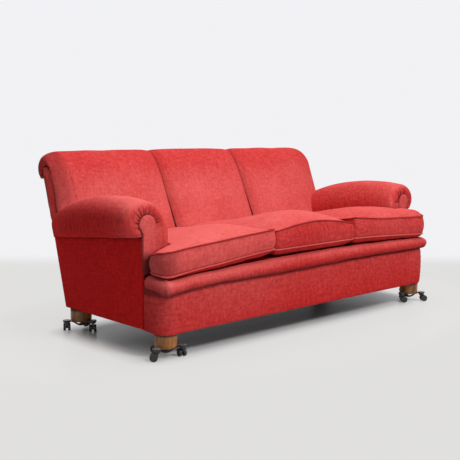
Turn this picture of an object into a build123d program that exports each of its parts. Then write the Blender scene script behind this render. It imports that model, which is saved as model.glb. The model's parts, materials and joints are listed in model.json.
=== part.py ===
from build123d import *
from math import cos, sin, tan, radians
import os

os.makedirs("parts", exist_ok=True)

# Three-seat sofa with rolled arms and loose cushions, standing in castered coasters.
# Millimetres, X to the right, Y to the back, Z up, floor at z = 0.

# Base
base_width = 1760.0  # over the outside arm panels
base_bottom = 104.0  # clear height under the base
side_length = 600.0  # arm front to the foot of the outside back
lip_length = 127.0  # front border ahead of the arm front
corner_radius = 60.0  # plan radius of the front corners
back_rake = 15.6  # outside back from the vertical, degrees
panel = 14.0  # padded outside panels
back_skin = 8.0  # outside back panel
dust_cover_thickness = 2.0
dust_cover_clearance = 4.0  # cut-out around each foot
border_top = 272.0  # seam between front border and front roll
front_roll_bulge = 29.6  # front roll ahead of the border
front_roll_core = 20.0  # plan radius inside the roll at the corners
fabric_gap = 0.4  # air between upholstered pieces that lie side by side

# Wooden frame
rail = 28.0  # thickness of the seat rails
rail_top = 262.0
cross_rail_width = 24.0
cross_rail_height = 70.0
block_side = 80.0
block_height = 70.0
back_frame = 22.0  # depth of the back posts and rails
back_post_width = 40.0
back_rail_height = 60.0
tacking_rail_bottom = 340.0
back_frame_drop = 55.0  # top of the back frame below the centre of the back roll
arm_post_depth = 50.0
arm_post_setback = 30.0  # behind the arm front
arm_board_bottom = 440.0
arm_board_thickness = 20.0
arm_board_width = 54.0

# Seat springs, deck and back webbing
spring_wire = 4.0
spring_count = 8
spring_margin = 243.0  # outermost springs from the side rails
spring_width = 50.0
spring_step = 58.0  # from one bend to the next
spring_bend = 12.0
spring_bearing = 14.0  # end of the wire behind the edge of its rail
deck_top = 348.0  # also the top of the front roll
web_thickness = 2.5
web_width = 50.0
web_count = 9
web_lap = 40.0  # length tacked to each rail

# Arms
arm_width = 130.0  # inside face from the outside panel
arm_ridge_inset = 22.0  # highest line of the roll from the outside panel
arm_overhang = 75.0  # roll beyond the outside panel, at the front
arm_overhang_back = 4.0  # and at the back, where the roll has run out
arm_lip = 0.27  # flat underside of the roll, as a part of its overhang
arm_peak = 638.0  # highest point of the roll
arm_peak_place = 180.0  # behind the arm front
arm_front_drop = 12.0  # fall of the roll from its peak to the front
arm_back_drop = 118.0  # fall from the peak to the back
arm_back_inset = 83.0  # where that fall is measured, from the end of the arm
arm_seam_front = 478.0  # underside of the roll at the arm front
arm_seam_fall = 0.0845  # its fall per unit of length towards the back
arm_shoulder = 92.0  # height of the inside curve of the roll
arm_belly = 0.45  # height of the widest line, as a part of the roll's height
arm_rim = ((0.0, 22.0), (8.0, 9.0), (26.0, 0.0))  # rounding of the front: place, depth
arm_station_count = 6  # slices along the arm behind the rim

# Facings
facing = 8.0
arm_facing_width = 62.0
arm_facing_head = 40.0  # radius of the round head
arm_facing_inset = 22.0  # head centre from the outside panel
arm_facing_height = 527.0
back_facing_width = 60.0
back_facing_bottom = 480.0
back_facing_drop = 4.0  # top of the head below the centre of the back roll
back_facing_bulge = 12.0

# Inside back
centre_share = 0.3613  # width of the centre section, as a part of the room between the arms
channel_depth = 26.0
channel_roll_depth = 10.0  # depth of the channel over the roll
channel_shoulder = 0.14  # start of the crown, as a part of the section's width
channel_easing = 0.33  # depth left there, as a part of the channel's depth
end_depth = 36.0  # the outer ends of the back lie this far behind its middle
end_roll_depth = 14.0  # rounding of the roll there
end_easing = 0.72  # depth left at the shoulder of an outer end
back_foot_lead = 100.0  # foot of the inside back ahead of the foot of the outside back
back_shoulder_lead = 130.0  # its shoulder ahead of the centre of the roll
back_shoulder_drop = 40.0  # and below it
back_pad_swell = 12.0
roll_height = 745.0  # centre of the back roll
roll_radius = 64.0
roll_setback = 5.0  # centre behind the plane of the outside back
back_crest = 0.6  # fullness of the crest between the shoulder and the top of the roll
roll_lap = 75.0  # angle down to the underside of the roll, degrees

# Seat cushions
cushion_gap = 1.5
cushion_overhang = 14.0  # ahead of the border
cushion_end_inset = 12.0  # outer end of the outer cushions from the outside panel
cushion_top_seam = 462.0
cushion_bottom_seam = 364.0
cushion_draw = 0.016  # sides drawn in between the corners, per unit of their length
cushion_corner = 26.0  # plan radius at the border
cushion_top_corner = 7.0  # and at the top of the crown
cushion_crown = ((0.0, 0.0), (17.0, 16.0), (29.0, 36.0), (35.0, 54.0))  # rise, inset
cushion_belly = 15.0  # inset of the flat underside

# Feet
foot_setback = 13.0  # foot centre from the inside of the rails
foot_radius = 47.5
foot_bottom = 40.0
foot_bottom_radius = 36.0
foot_shoulder = 10.0
foot_neck = 30.0
bolt_radius = 4.0
bolt_in_foot = 42.0
bolt_in_block = 52.0

# Coasters and casters
caster_circle = 68.0  # radius of the pad centres around the foot
coaster_hub = 13.0
coaster_hub_bottom = 20.0
coaster_hub_thickness = 7.0
coaster_arm_width = 14.0
coaster_arm_root = 8.0  # where the arms leave the hub
coaster_arm_clearance = 2.0  # underside of the arms above the wheels
coaster_underside = 0.3  # rise of the underside halfway out, as a part of the whole
coaster_upperside = 0.25  # the same for the upper side up to the foot
coaster_bend_place = 0.62  # bend of the arm up to its pad, as a part of the way out
coaster_bend_height = 0.36  # and as a part of the way up
pad_radius = 17.0
pad_thickness = 8.0
seat_width = 8.0  # flat on each arm that carries the foot
seat_margin = 2.0  # flat beyond the foot
stem_radius = 4.0
running_gap = 0.05
wheel_radius = 16.5
wheel_width = 11.0
wheel_edge = 2.0
wheel_recess = 1.5
wheel_hub_radius = 5.5
wheel_rim = 3.5
axle_radius = 2.5
trail = 12.0  # axle behind the swivel
web_plate = 9.0  # fork between the two wheels
wheel_side_gap = 0.5
fork_cap_radius = 13.0
fork_cap_clearance = 3.0  # cap above the wheels
fork_cap_height = 5.5
fork_cap_gap = 0.5  # cap below its pad
fork_boss = 7.0  # fork around the axle

coaster_angles = {"front_left": 201.0, "front_right": 184.0, "back_left": 167.0, "back_right": 220.0}
caster_angles = {
    "front_left": (140.0, 75.0, 100.0),
    "front_right": (320.0, 325.0, 30.0),
    "back_left": (60.0, 235.0, 310.0),
    "back_right": (20.0, 140.0, 255.0),
}

# Places that follow from these sizes
half = base_width / 2
inner_half = half - panel
rear_slope = tan(radians(back_rake))
roll_reach = side_length + rear_slope * (roll_height - base_bottom) + roll_setback
depth_behind = roll_reach + roll_radius
back_frame_top = roll_height - back_frame_drop
back_facing_head = roll_height - back_facing_drop
back_pad_shoulder_height = roll_height - back_shoulder_drop
back_pad_foot = side_length - back_foot_lead
back_pad_shoulder = roll_reach - back_shoulder_lead
arm_end = side_length + rear_slope * (arm_peak - base_bottom)
arm_back_place = arm_end - arm_back_inset
arm_inner = half - arm_width
arm_ridge = half - arm_ridge_inset
arm_outer = half + arm_overhang
arm_outer_back = half + arm_overhang_back
arm_facing_place = half - arm_facing_inset
channel_place = centre_share * arm_inner  # sewn channels each side of the middle
cushion_end = half - cushion_end_inset
foot_inset = panel + rail + foot_setback  # foot centre behind the border
front_angles = (coaster_angles["front_left"], coaster_angles["front_right"])
caster_swing = max(-sin(radians(angle + 120 * number)) for angle in front_angles for number in range(3))
caster_reach = lip_length - foot_inset + caster_circle * caster_swing + pad_radius
depth_ahead = max(lip_length + front_roll_bulge, caster_reach)
arm_front = (depth_ahead - depth_behind) / 2  # the origin is in the middle of the depth
border_front = arm_front - lip_length
rail_bottom = base_bottom + dust_cover_thickness
deck_bottom = rail_top + spring_wire
front_roll_depth = corner_radius - front_roll_core
frame_inset = back_skin + back_frame
pad_inset = frame_inset + web_thickness
rail_inner_x = inner_half - rail
rail_inner_y = border_front + panel + rail
spring_spacing = 2 * (rail_inner_x - spring_margin) / (spring_count - 1)
wheel_top = 2 * wheel_radius
fork_cap_bottom = wheel_top + fork_cap_clearance
pad_bottom = fork_cap_bottom + fork_cap_height + fork_cap_gap
bend = cos(radians(45))


def rear_y(z, inset=0.0):
    # The raked plane of the outside back, or a plane that lies inset in front of it.
    return arm_front + side_length + rear_slope * (z - base_bottom) - inset / cos(radians(back_rake))


def slab(points, x_low, x_high):
    # A side view outline, as (y, z) points, given its width along X.
    outline = Polyline(*[(x_low, y, z) for y, z in points], close=True)
    return extrude(make_face(outline), amount=x_high - x_low, dir=(1, 0, 0))


def block(x_low, x_high, y_low, y_high, z_low, z_high):
    # A box between two corners.
    size = (x_high - x_low, y_high - y_low, z_high - z_low)
    return Pos(x_low, y_low, z_low) * Box(*size, align=(Align.MIN, Align.MIN, Align.MIN))


def raked(z_low, z_high, inset, thickness, x_low, x_high):
    # A board that lies along the back rake.
    rear = [(rear_y(z, inset), z) for z in (z_low, z_high)]
    front = [(rear_y(z, inset + thickness), z) for z in (z_high, z_low)]
    return slab(rear + front, x_low, x_high)


def against_back(y_front, z_low, z_high, x_low, x_high):
    # A board whose back end is cut to the rake of the back frame.
    ends = [(rear_y(z, frame_inset), z) for z in (z_low, z_high)]
    return slab([(y_front, z_low), *ends, (y_front, z_high)], x_low, x_high)


def pair(shape):
    # The piece and its mirror image on the other side.
    return [shape, mirror(shape, Plane.YZ)]


def save(node, *shapes):
    # One file for each node, which may hold a group of separate solids.
    solids = [solid for shape in shapes for solid in shape.solids()]
    export_step(solids[0] if len(solids) == 1 else Compound(solids), "parts/" + node + ".step")


def save_sides(node, right_shape):
    right, left = pair(right_shape)
    save(node + "_right", right)
    save(node + "_left", left)


def plan_curve(side, front, radius, z):
    # The U of the front corners in plan, from the left arm front round to the right one.
    left = Line((-side, arm_front, z), (-side, front + radius, z))
    corner = RadiusArc(left @ 1, (-side + radius, front, z), -radius)
    across = Line(corner @ 1, (side - radius, front, z))
    turn = RadiusArc(across @ 1, (side, front + radius, z), -radius)
    right = Line(turn @ 1, (side, arm_front, z))
    return [left, corner, across, turn, right]


# Front border: a band round the front of the base
def front_border():
    outside = plan_curve(half, border_front, corner_radius, base_bottom)
    inside = plan_curve(inner_half, border_front + panel, corner_radius - panel, base_bottom)
    ends = [Line(outside[0] @ 0, inside[0] @ 0), Line(outside[-1] @ 1, inside[-1] @ 1)]
    return extrude(make_face(outside + inside + ends), amount=border_top - base_bottom, dir=(0, 0, 1))


# Front roll: a stuffed bolster that follows the same line above the border
def front_roll():
    path = Wire(plan_curve(half, border_front, corner_radius, border_top))
    height = deck_top - border_top
    low = (-half, arm_front, border_top)
    high = (-half, arm_front, deck_top)
    belly = (-half - front_roll_bulge, arm_front, border_top + height / 2)
    inner_high = (-half + front_roll_depth, arm_front, deck_top)
    inner_low = (-half + front_roll_depth, arm_front, border_top)
    edges = [ThreePointArc(low, belly, high), Polyline(high, inner_high, inner_low, low)]
    return sweep(make_face(edges), path=path)


# Seat deck: the stuffed platform, wider in front of the arms
def seat_deck():
    wide = half - front_roll_depth
    front = border_front + front_roll_depth
    back = rear_y(deck_bottom, pad_inset)
    edges = plan_curve(wide, front, front_roll_core, deck_bottom)
    right = [(wide, arm_front), (arm_inner, arm_front), (arm_inner, back)]
    left = [(-x, y) for x, y in reversed(right)]
    edges.append(Polyline(*[(x, y, deck_bottom) for x, y in right + left]))
    return extrude(make_face(edges), amount=deck_top - deck_bottom, dir=(0, 0, 1))


# Dust cover under the seat, cut out at the corners for the feet
def dust_cover(feet_places):
    back = rear_y(base_bottom, back_skin)
    edges = plan_curve(inner_half, border_front + panel, corner_radius - panel, base_bottom)
    edges.append(Polyline(edges[-1] @ 1, (inner_half, back, base_bottom), (-inner_half, back, base_bottom),
                          edges[0] @ 0))
    sheet = extrude(make_face(edges), amount=dust_cover_thickness, dir=(0, 0, 1))
    cut = foot_radius + dust_cover_clearance
    for x, y in feet_places.values():
        x_ends = sorted((x - cut, half) if x > 0 else (x + cut, -half))
        y_ends = sorted((y - cut, back + panel) if y > 0 else (y + cut, border_front))
        sheet -= block(*x_ends, *y_ends, 0, 2 * base_bottom)
    return sheet


# Zigzag springs between the front and back rails
def zigzag_springs():
    start = border_front + panel + spring_bearing
    end = rear_y(rail_top, frame_inset) + spring_bearing
    bends = int((end - start) / spring_step)
    margin = (end - start - (bends - 1) * spring_step) / 2
    z = rail_top + spring_wire / 2
    points = [(0, start, z)]
    for number in range(bends):
        side = spring_width / 2 if number % 2 else -spring_width / 2
        points.append((side, start + margin + number * spring_step, z))
    points.append((0, end, z))
    path = FilletPolyline(*points, radius=spring_bend)
    wire = sweep(Plane(path @ 0, z_dir=path % 0) * Circle(spring_wire / 2), path=path)
    first = -(spring_count - 1) * spring_spacing / 2
    return [Pos(first + number * spring_spacing, 0, 0) * wire for number in range(spring_count)]


# Webbing straps on the front of the back frame
def back_webbing():
    low = tacking_rail_bottom + back_rail_height - web_lap
    high = back_frame_top - back_rail_height + web_lap
    reach = inner_half - back_post_width - web_width / 2
    step = 2 * (reach - web_width) / (web_count - 1)
    places = [-reach + web_width + number * step for number in range(web_count)]
    return [raked(low, high, frame_inset, web_thickness, x - web_width / 2, x + web_width / 2) for x in places]


def arm_top(place):
    # Height of the roll along the arm: it rises to a peak and falls away to the back.
    away = place - arm_peak_place
    if away < 0:
        return arm_peak - arm_front_drop * (away / arm_peak_place) ** 2
    return arm_peak - arm_back_drop * (away / (arm_back_place - arm_peak_place)) ** 2


def arm_section(place, depth):
    # A slice of the right arm, drawn in by depth where the front of the roll rounds off.
    y = arm_front + place
    top = arm_top(place) - depth
    seam = arm_seam_front - arm_seam_fall * place + fabric_gap
    inside = arm_inner + depth / 2
    outside = arm_outer - (arm_outer - arm_outer_back) * (place / arm_end) ** 2 - depth
    belly = seam + arm_belly * (top - seam)
    shoulder = top - arm_shoulder
    lip = half + arm_lip * (outside - half)
    inner_bend = (arm_ridge - bend * (arm_ridge - inside), y, shoulder + bend * arm_shoulder)
    outer_bend = (arm_ridge + bend * (outside - arm_ridge), y, belly + bend * (top - belly))
    under_bend = (lip + bend * (outside - lip), y, belly - bend * (belly - seam))
    edges = [
        Polyline((inner_half, y, seam), (inner_half, y, rail_top), (inside, y, rail_top), (inside, y, shoulder)),
        ThreePointArc((inside, y, shoulder), inner_bend, (arm_ridge, y, top)),
        ThreePointArc((arm_ridge, y, top), outer_bend, (outside, y, belly)),
        ThreePointArc((outside, y, belly), under_bend, (lip, y, seam)),
        Line((lip, y, seam), (inner_half, y, seam)),
    ]
    return make_face(edges)


def arm_form():
    # The inside arm and its roll, cut to the rake of the back.
    rim = loft([arm_section(place, depth) for place, depth in arm_rim], ruled=True)
    start = arm_rim[-1][0]
    step = (arm_end - start) / (arm_station_count - 1)
    length = loft([arm_section(start + number * step, 0.0) for number in range(arm_station_count)])
    high = arm_peak + panel
    far = rear_y(high) + side_length
    behind = slab([(rear_y(0), 0), (far, 0), (far, high), (rear_y(high), high)], 0, 2 * arm_outer)
    frame_side = slab([(rear_y(0, pad_inset), 0), (far, 0), (far, high), (rear_y(high, pad_inset), high)],
                      0, inner_half)
    return rim + length - behind - frame_side


def arm_post():
    front = arm_front + arm_post_setback
    return block(rail_inner_x, inner_half, front, front + arm_post_depth, rail_top, arm_board_bottom)


def arm_board():
    front = arm_front + arm_post_setback
    top = arm_board_bottom + arm_board_thickness
    return against_back(front, arm_board_bottom, top, inner_half - arm_board_width, inner_half)


def outside_arm():
    # The flat panel below the roll.
    seam = (rear_y(arm_seam_front) - arm_front) * arm_seam_fall
    low_seam = arm_seam_front - seam
    points = [(arm_front, base_bottom), (rear_y(base_bottom), base_bottom), (rear_y(low_seam), low_seam)]
    points.append((arm_front, arm_seam_front))
    return slab(points, inner_half, half)


# Arm facing: a narrow panel with a round head on the front of the arm
def arm_facing():
    y = arm_front
    head = arm_facing_height
    outer = half
    inner = half - arm_facing_width
    low = deck_top + fabric_gap
    left = (arm_facing_place - arm_facing_head, y, head)
    right = (arm_facing_place + arm_facing_head, y, head)
    top = (arm_facing_place, y, head + arm_facing_head)
    side = bend * arm_facing_head
    edges = [
        Polyline((outer, y, head - arm_facing_head), (outer, y, low), (inner, y, low), left),
        ThreePointArc(left, (arm_facing_place - side, y, head + side), top),
        ThreePointArc(top, (arm_facing_place + side, y, head + side), right),
        Line(right, (outer, y, head - arm_facing_head)),
    ]
    return extrude(make_face(edges), amount=facing, dir=(0, -1, 0))


def back_section(x, front_depth, roll_depth):
    # A slice of the inside back, from the deck over the roll to the back frame.
    centre = arm_front + roll_reach
    radius = roll_radius - roll_depth
    foot = (x, arm_front + back_pad_foot + front_depth, deck_top)
    shoulder = (x, arm_front + back_pad_shoulder + front_depth, back_pad_shoulder_height)
    swell = (x, (foot[1] + shoulder[1]) / 2 - back_pad_swell, (foot[2] + shoulder[2]) / 2)
    top = (x, centre, roll_height + radius)
    crest = (x, centre - back_crest * (centre - shoulder[1]), shoulder[2] + back_crest * (top[2] - shoulder[2]))
    rear = (x, centre + radius, roll_height)
    upper = (x, centre + bend * radius, roll_height + bend * radius)
    lap = radians(roll_lap)
    lower = (x, centre + radius * cos(lap / 2), roll_height - radius * sin(lap / 2))
    under = (x, centre + radius * cos(lap), roll_height - radius * sin(lap))
    edges = [
        ThreePointArc(foot, swell, shoulder),
        ThreePointArc(shoulder, crest, top),
        ThreePointArc(top, upper, rear),
        ThreePointArc(rear, lower, under),
        Polyline(under, (x, rear_y(back_frame_top), back_frame_top),
                 (x, rear_y(back_frame_top, pad_inset), back_frame_top),
                 (x, rear_y(deck_top, pad_inset), deck_top), foot),
    ]
    return make_face(edges)


def back_panel(x_low, x_high, low_end, high_end):
    # One stuffed section of the back: full in the middle, drawn down to its ends.
    width = x_high - x_low
    edge = channel_shoulder * width
    *low_depths, low_easing = low_end
    *high_depths, high_easing = high_end
    sections = [
        back_section(x_low, *low_depths),
        back_section(x_low + edge, *[depth * low_easing for depth in low_depths]),
        back_section((x_low + x_high) / 2, 0.0, 0.0),
        back_section(x_high - edge, *[depth * high_easing for depth in high_depths]),
        back_section(x_high, *high_depths),
    ]
    return loft(sections)


# Back facing: a strip with a round head on each end of the back
def back_facing():
    x = inner_half
    low = back_facing_bottom
    shoulder = back_frame_top
    middle = (shoulder + back_facing_head) / 2
    head_y = (rear_y(middle) + rear_y(middle, back_facing_width)) / 2 + back_facing_bulge / 2
    top = (x, head_y, back_facing_head)
    rear = (x, rear_y(shoulder), shoulder)
    front = (x, rear_y(middle, back_facing_width), middle)
    half_head = back_facing_head - middle
    edges = [
        ThreePointArc(rear, (x, rear_y(middle) + back_facing_bulge, middle), top),
        ThreePointArc(top, (x, head_y - bend * (head_y - front[1]), middle + bend * half_head), front),
        Polyline(front, (x, rear_y(low, back_facing_width), low), (x, rear_y(low), low), rear),
    ]
    return extrude(make_face(edges), amount=facing, dir=(1, 0, 0))


def cushion_outline(corners, inset, z, radius):
    # The plan of a cushion at one height: rounded corners, and sides drawn in between them.
    count = len(corners)
    moved = []
    for number in range(count):
        before, here, after = (Vector(*corners[(number + step) % count]) for step in (-1, 0, 1))
        inward = [Vector(-way.Y, way.X).normalized() for way in (here - before, after - here)]
        moved.append(here + (inward[0] + inward[1]) * inset)
    ways = [(moved[(number + 1) % count] - moved[number]).normalized() for number in range(count)]
    corner_cut = radius * (1 - bend)
    edges = []
    for number in range(count):
        start, end = moved[number], moved[(number + 1) % count]
        way, next_way = ways[number], ways[(number + 1) % count]
        leave = start + way * radius
        arrive = end - way * radius
        middle = (start + end) / 2 + Vector(-way.Y, way.X) * cushion_draw * (end - start).length
        turned = end + next_way * radius
        round_point = end + (next_way - way) * corner_cut
        for points in ((leave, middle, arrive), (arrive, round_point, turned)):
            edges.append(ThreePointArc(*[(point.X, point.Y, z) for point in points]))
    return make_face(edges)


def cushion(corners_at):
    # Flat underside, upright border and a crowned top whose corners sharpen as it closes.
    widest = cushion_crown[-1][1]
    levels = [(deck_top + fabric_gap, cushion_belly, cushion_corner), (cushion_bottom_seam, 0.0, cushion_corner)]
    for rise, inset in cushion_crown:
        radius = cushion_corner + (cushion_top_corner - cushion_corner) * inset / widest
        levels.append((cushion_top_seam + rise, inset, radius))
    return loft([cushion_outline(corners_at(z), inset, z, radius) for z, inset, radius in levels], ruled=True)


def cushion_back(z):
    # The back edge of a cushion leans with the inside back behind it.
    rise = (z - deck_top) / (back_pad_shoulder_height - deck_top)
    lean = (back_pad_shoulder - back_pad_foot) * rise
    return arm_front + back_pad_foot + lean - back_pad_swell - cushion_gap


def middle_corners(z):
    front = border_front - cushion_overhang
    side = channel_place - cushion_gap
    return [(-side, front), (side, front), (side, cushion_back(z)), (-side, cushion_back(z))]


def outer_corners(z):
    # The outer cushion has a tab that reaches in front of the arm.
    front = border_front - cushion_overhang
    inner = channel_place + cushion_gap
    arm_side = arm_inner - cushion_gap
    tab_back = arm_front - facing - cushion_gap
    return [(inner, front), (cushion_end, front), (cushion_end, tab_back), (arm_side, tab_back),
            (arm_side, cushion_back(z)), (inner, cushion_back(z))]


# Turned foot with a neck that passes the dust cover to its block
def foot(x, y):
    edge = foot_radius - foot_bottom_radius
    side_low = foot_bottom + edge
    side_high = base_bottom - foot_shoulder
    neck_top = base_bottom + dust_cover_thickness
    round_low = (foot_bottom_radius + bend * edge, 0, side_low - bend * edge)
    round_high = (foot_radius - (1 - bend) * foot_shoulder, 0, side_high + bend * foot_shoulder)
    edges = [
        Line((0, 0, foot_bottom), (foot_bottom_radius, 0, foot_bottom)),
        ThreePointArc((foot_bottom_radius, 0, foot_bottom), round_low, (foot_radius, 0, side_low)),
        Line((foot_radius, 0, side_low), (foot_radius, 0, side_high)),
        ThreePointArc((foot_radius, 0, side_high), round_high, (foot_radius - foot_shoulder, 0, base_bottom)),
        Polyline((foot_radius - foot_shoulder, 0, base_bottom), (foot_neck, 0, base_bottom),
                 (foot_neck, 0, neck_top), (0, 0, neck_top), (0, 0, foot_bottom)),
    ]
    return Pos(x, y, 0) * revolve(make_face(edges), Axis.Z) - foot_bolt(x, y)


def foot_bolt(x, y):
    length = bolt_in_foot + bolt_in_block
    low = rail_bottom - bolt_in_foot
    return Pos(x, y, low) * Cylinder(bolt_radius, length, align=(Align.CENTER, Align.CENTER, Align.MIN))


def upright(radius, z_low, z_high):
    # A vertical cylinder on the local axis.
    low = (Align.CENTER, Align.CENTER, Align.MIN)
    return Pos(0, 0, z_low) * Cylinder(radius, z_high - z_low, align=low)


# Coaster: a hub with three bent arms, each with a pad that takes a caster stem
def coaster():
    pad_top = pad_bottom + pad_thickness
    pad_inner = caster_circle - pad_radius
    wheel_reach = caster_circle - trail - wheel_radius - wheel_width / 2
    hub_top = coaster_hub_bottom + coaster_hub_thickness
    clear = wheel_top + coaster_arm_clearance
    seat_in = foot_bottom_radius - seat_width
    seat_out = foot_bottom_radius + seat_margin
    dip_height = coaster_hub_bottom + coaster_underside * (clear - coaster_hub_bottom)
    fall_height = hub_top + coaster_upperside * (foot_bottom - hub_top)
    rise_height = foot_bottom + coaster_bend_height * (pad_top - foot_bottom)
    dip = ((coaster_arm_root + wheel_reach) / 2, 0, dip_height)
    fall = ((coaster_arm_root + seat_in) / 2, 0, fall_height)
    rise = (seat_out + coaster_bend_place * (pad_inner - seat_out), 0, rise_height)
    edges = [
        ThreePointArc((coaster_arm_root, 0, coaster_hub_bottom), dip, (wheel_reach, 0, clear)),
        Polyline((wheel_reach, 0, clear), (pad_inner, 0, pad_bottom), (caster_circle, 0, pad_bottom),
                 (caster_circle, 0, pad_top), (pad_inner, 0, pad_top)),
        ThreePointArc((pad_inner, 0, pad_top), rise, (seat_out, 0, foot_bottom)),
        Line((seat_out, 0, foot_bottom), (seat_in, 0, foot_bottom)),
        ThreePointArc((seat_in, 0, foot_bottom), fall, (coaster_arm_root, 0, hub_top)),
        Line((coaster_arm_root, 0, hub_top), (coaster_arm_root, 0, coaster_hub_bottom)),
    ]
    arm = extrude(make_face(edges), amount=coaster_arm_width / 2, dir=(0, 1, 0), both=True)
    arm += Pos(caster_circle, 0, 0) * upright(pad_radius, pad_bottom, pad_top)
    arm -= Pos(caster_circle, 0, 0) * upright(stem_radius + running_gap, 0, 2 * pad_top)
    spider = upright(coaster_hub, coaster_hub_bottom, hub_top)
    for number in range(3):
        spider += Rot(0, 0, 120 * number) * arm
    return spider


# Caster fork: cap and stem on the swivel axis, and a plate that holds the axle behind it
def caster_fork():
    cap_top = pad_bottom - fork_cap_gap
    fork = upright(fork_cap_radius, fork_cap_bottom, cap_top)
    fork += upright(stem_radius, cap_top, pad_bottom + pad_thickness)
    cap = fork_cap_radius
    edges = [
        Polyline((trail + fork_boss, 0, wheel_radius), (cap, 0, fork_cap_bottom), (-cap, 0, fork_cap_bottom),
                 (trail - fork_boss, 0, wheel_radius)),
        ThreePointArc((trail - fork_boss, 0, wheel_radius), (trail, 0, wheel_radius - fork_boss),
                      (trail + fork_boss, 0, wheel_radius)),
    ]
    fork += extrude(make_face(edges), amount=web_plate / 2, dir=(0, 1, 0), both=True)
    hole = Pos(trail, 0, wheel_radius) * Rot(90, 0, 0) * Cylinder(axle_radius + running_gap, 2 * web_plate)
    return fork - hole


# Wheel pair: two wheels on one axle, with a dished outer face
def wheel_pair():
    centre = web_plate / 2 + wheel_side_gap + wheel_width / 2
    wheel = Cylinder(wheel_radius, wheel_width)
    wheel = fillet(wheel.edges().filter_by(GeomType.CIRCLE), wheel_edge)
    dish = Cylinder(wheel_radius - wheel_rim, 2 * wheel_recess) - Cylinder(wheel_hub_radius, 2 * wheel_recess)
    wheel -= Pos(0, 0, wheel_width / 2) * dish
    both = Pos(0, 0, centre) * wheel + Pos(0, 0, -centre) * Rot(180, 0, 0) * wheel
    both += Cylinder(axle_radius, 2 * centre)
    return Pos(trail, 0, wheel_radius) * Rot(90, 0, 0) * both


foot_x = rail_inner_x - foot_setback
foot_front = rail_inner_y + foot_setback
foot_back = rear_y(rail_bottom, frame_inset) - foot_setback
feet = {
    "front_left": (-foot_x, foot_front),
    "front_right": (foot_x, foot_front),
    "back_left": (-foot_x, foot_back),
    "back_right": (foot_x, foot_back),
}

# Base and frame
save("front_border", front_border())
save("front_roll", front_roll())
save("seat_deck", seat_deck())
save("dust_cover", dust_cover(feet))
save("outside_back", raked(base_bottom, back_frame_top, 0.0, back_skin, -inner_half, inner_half))
save_sides("outside_arm", outside_arm())

rail_end = half - corner_radius
post_inner = inner_half - back_post_width
save("front_rail", block(-rail_end, rail_end, border_front + panel, rail_inner_y, rail_bottom, rail_top))
save("back_rail", raked(rail_bottom, rail_top, back_skin, back_frame, -post_inner, post_inner))
side_rail = against_back(border_front + corner_radius, rail_bottom, rail_top, rail_inner_x, inner_half)
save("side_rails", *pair(side_rail))
cross_low = channel_place - cross_rail_width / 2
cross_high = channel_place + cross_rail_width / 2
cross_rail = against_back(rail_inner_y, rail_bottom, rail_bottom + cross_rail_height, cross_low, cross_high)
save("cross_rails", *pair(cross_rail))
blocks = []
for y_low in (rail_inner_y, rear_y(rail_bottom, frame_inset) - block_side):
    corner = block(rail_inner_x - block_side, rail_inner_x, y_low, y_low + block_side,
                   rail_bottom, rail_bottom + block_height)
    for x, y in feet.values():
        corner -= foot_bolt(x, y)
    blocks += pair(corner)
save("corner_blocks", *blocks)
save("back_posts", *pair(raked(rail_bottom, back_frame_top, back_skin, back_frame, post_inner, inner_half)))
top_rail = raked(back_frame_top - back_rail_height, back_frame_top, back_skin, back_frame,
                 -post_inner, post_inner)
tacking_rail = raked(tacking_rail_bottom, tacking_rail_bottom + back_rail_height, back_skin, back_frame,
                     -post_inner, post_inner)
save("back_cross_rails", top_rail, tacking_rail)
save("arm_posts", *pair(arm_post()))
save("arm_boards", *pair(arm_board()))
save("zigzag_springs", *zigzag_springs())
save("back_webbing", *back_webbing())

# Upholstery
right_arm = arm_form()
save_sides("arm_pad", right_arm - arm_post() - arm_board())
save_sides("arm_facing", arm_facing())
save_sides("back_facing", back_facing() - right_arm)
valley = (channel_depth, channel_roll_depth, channel_easing)
end = (end_depth, end_roll_depth, end_easing)
save("back_panel_centre", back_panel(-channel_place, channel_place, valley, valley))
save_sides("back_panel", back_panel(channel_place, inner_half, valley, end) - right_arm)
save("seat_cushion_centre", cushion(middle_corners))
save_sides("seat_cushion", cushion(outer_corners))

# Feet, coasters and casters
save("feet", *[foot(x, y) for x, y in feet.values()])
save("foot_bolts", *[foot_bolt(x, y) for x, y in feet.values()])
coaster_shape = coaster()
fork_shape = caster_fork()
wheel_shape = wheel_pair()
for corner, (x, y) in feet.items():
    save("coaster_" + corner, Pos(x, y, 0) * Rot(0, 0, coaster_angles[corner]) * coaster_shape)
    for number, swivel in enumerate(caster_angles[corner]):
        arm_angle = radians(coaster_angles[corner] + 120 * number)
        place = Pos(x + caster_circle * cos(arm_angle), y + caster_circle * sin(arm_angle), 0)
        caster = "_" + corner + "_" + str(number + 1)
        save("caster_fork" + caster, place * Rot(0, 0, swivel) * fork_shape)
        save("caster_wheels" + caster, place * Rot(0, 0, swivel) * wheel_shape)
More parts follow.
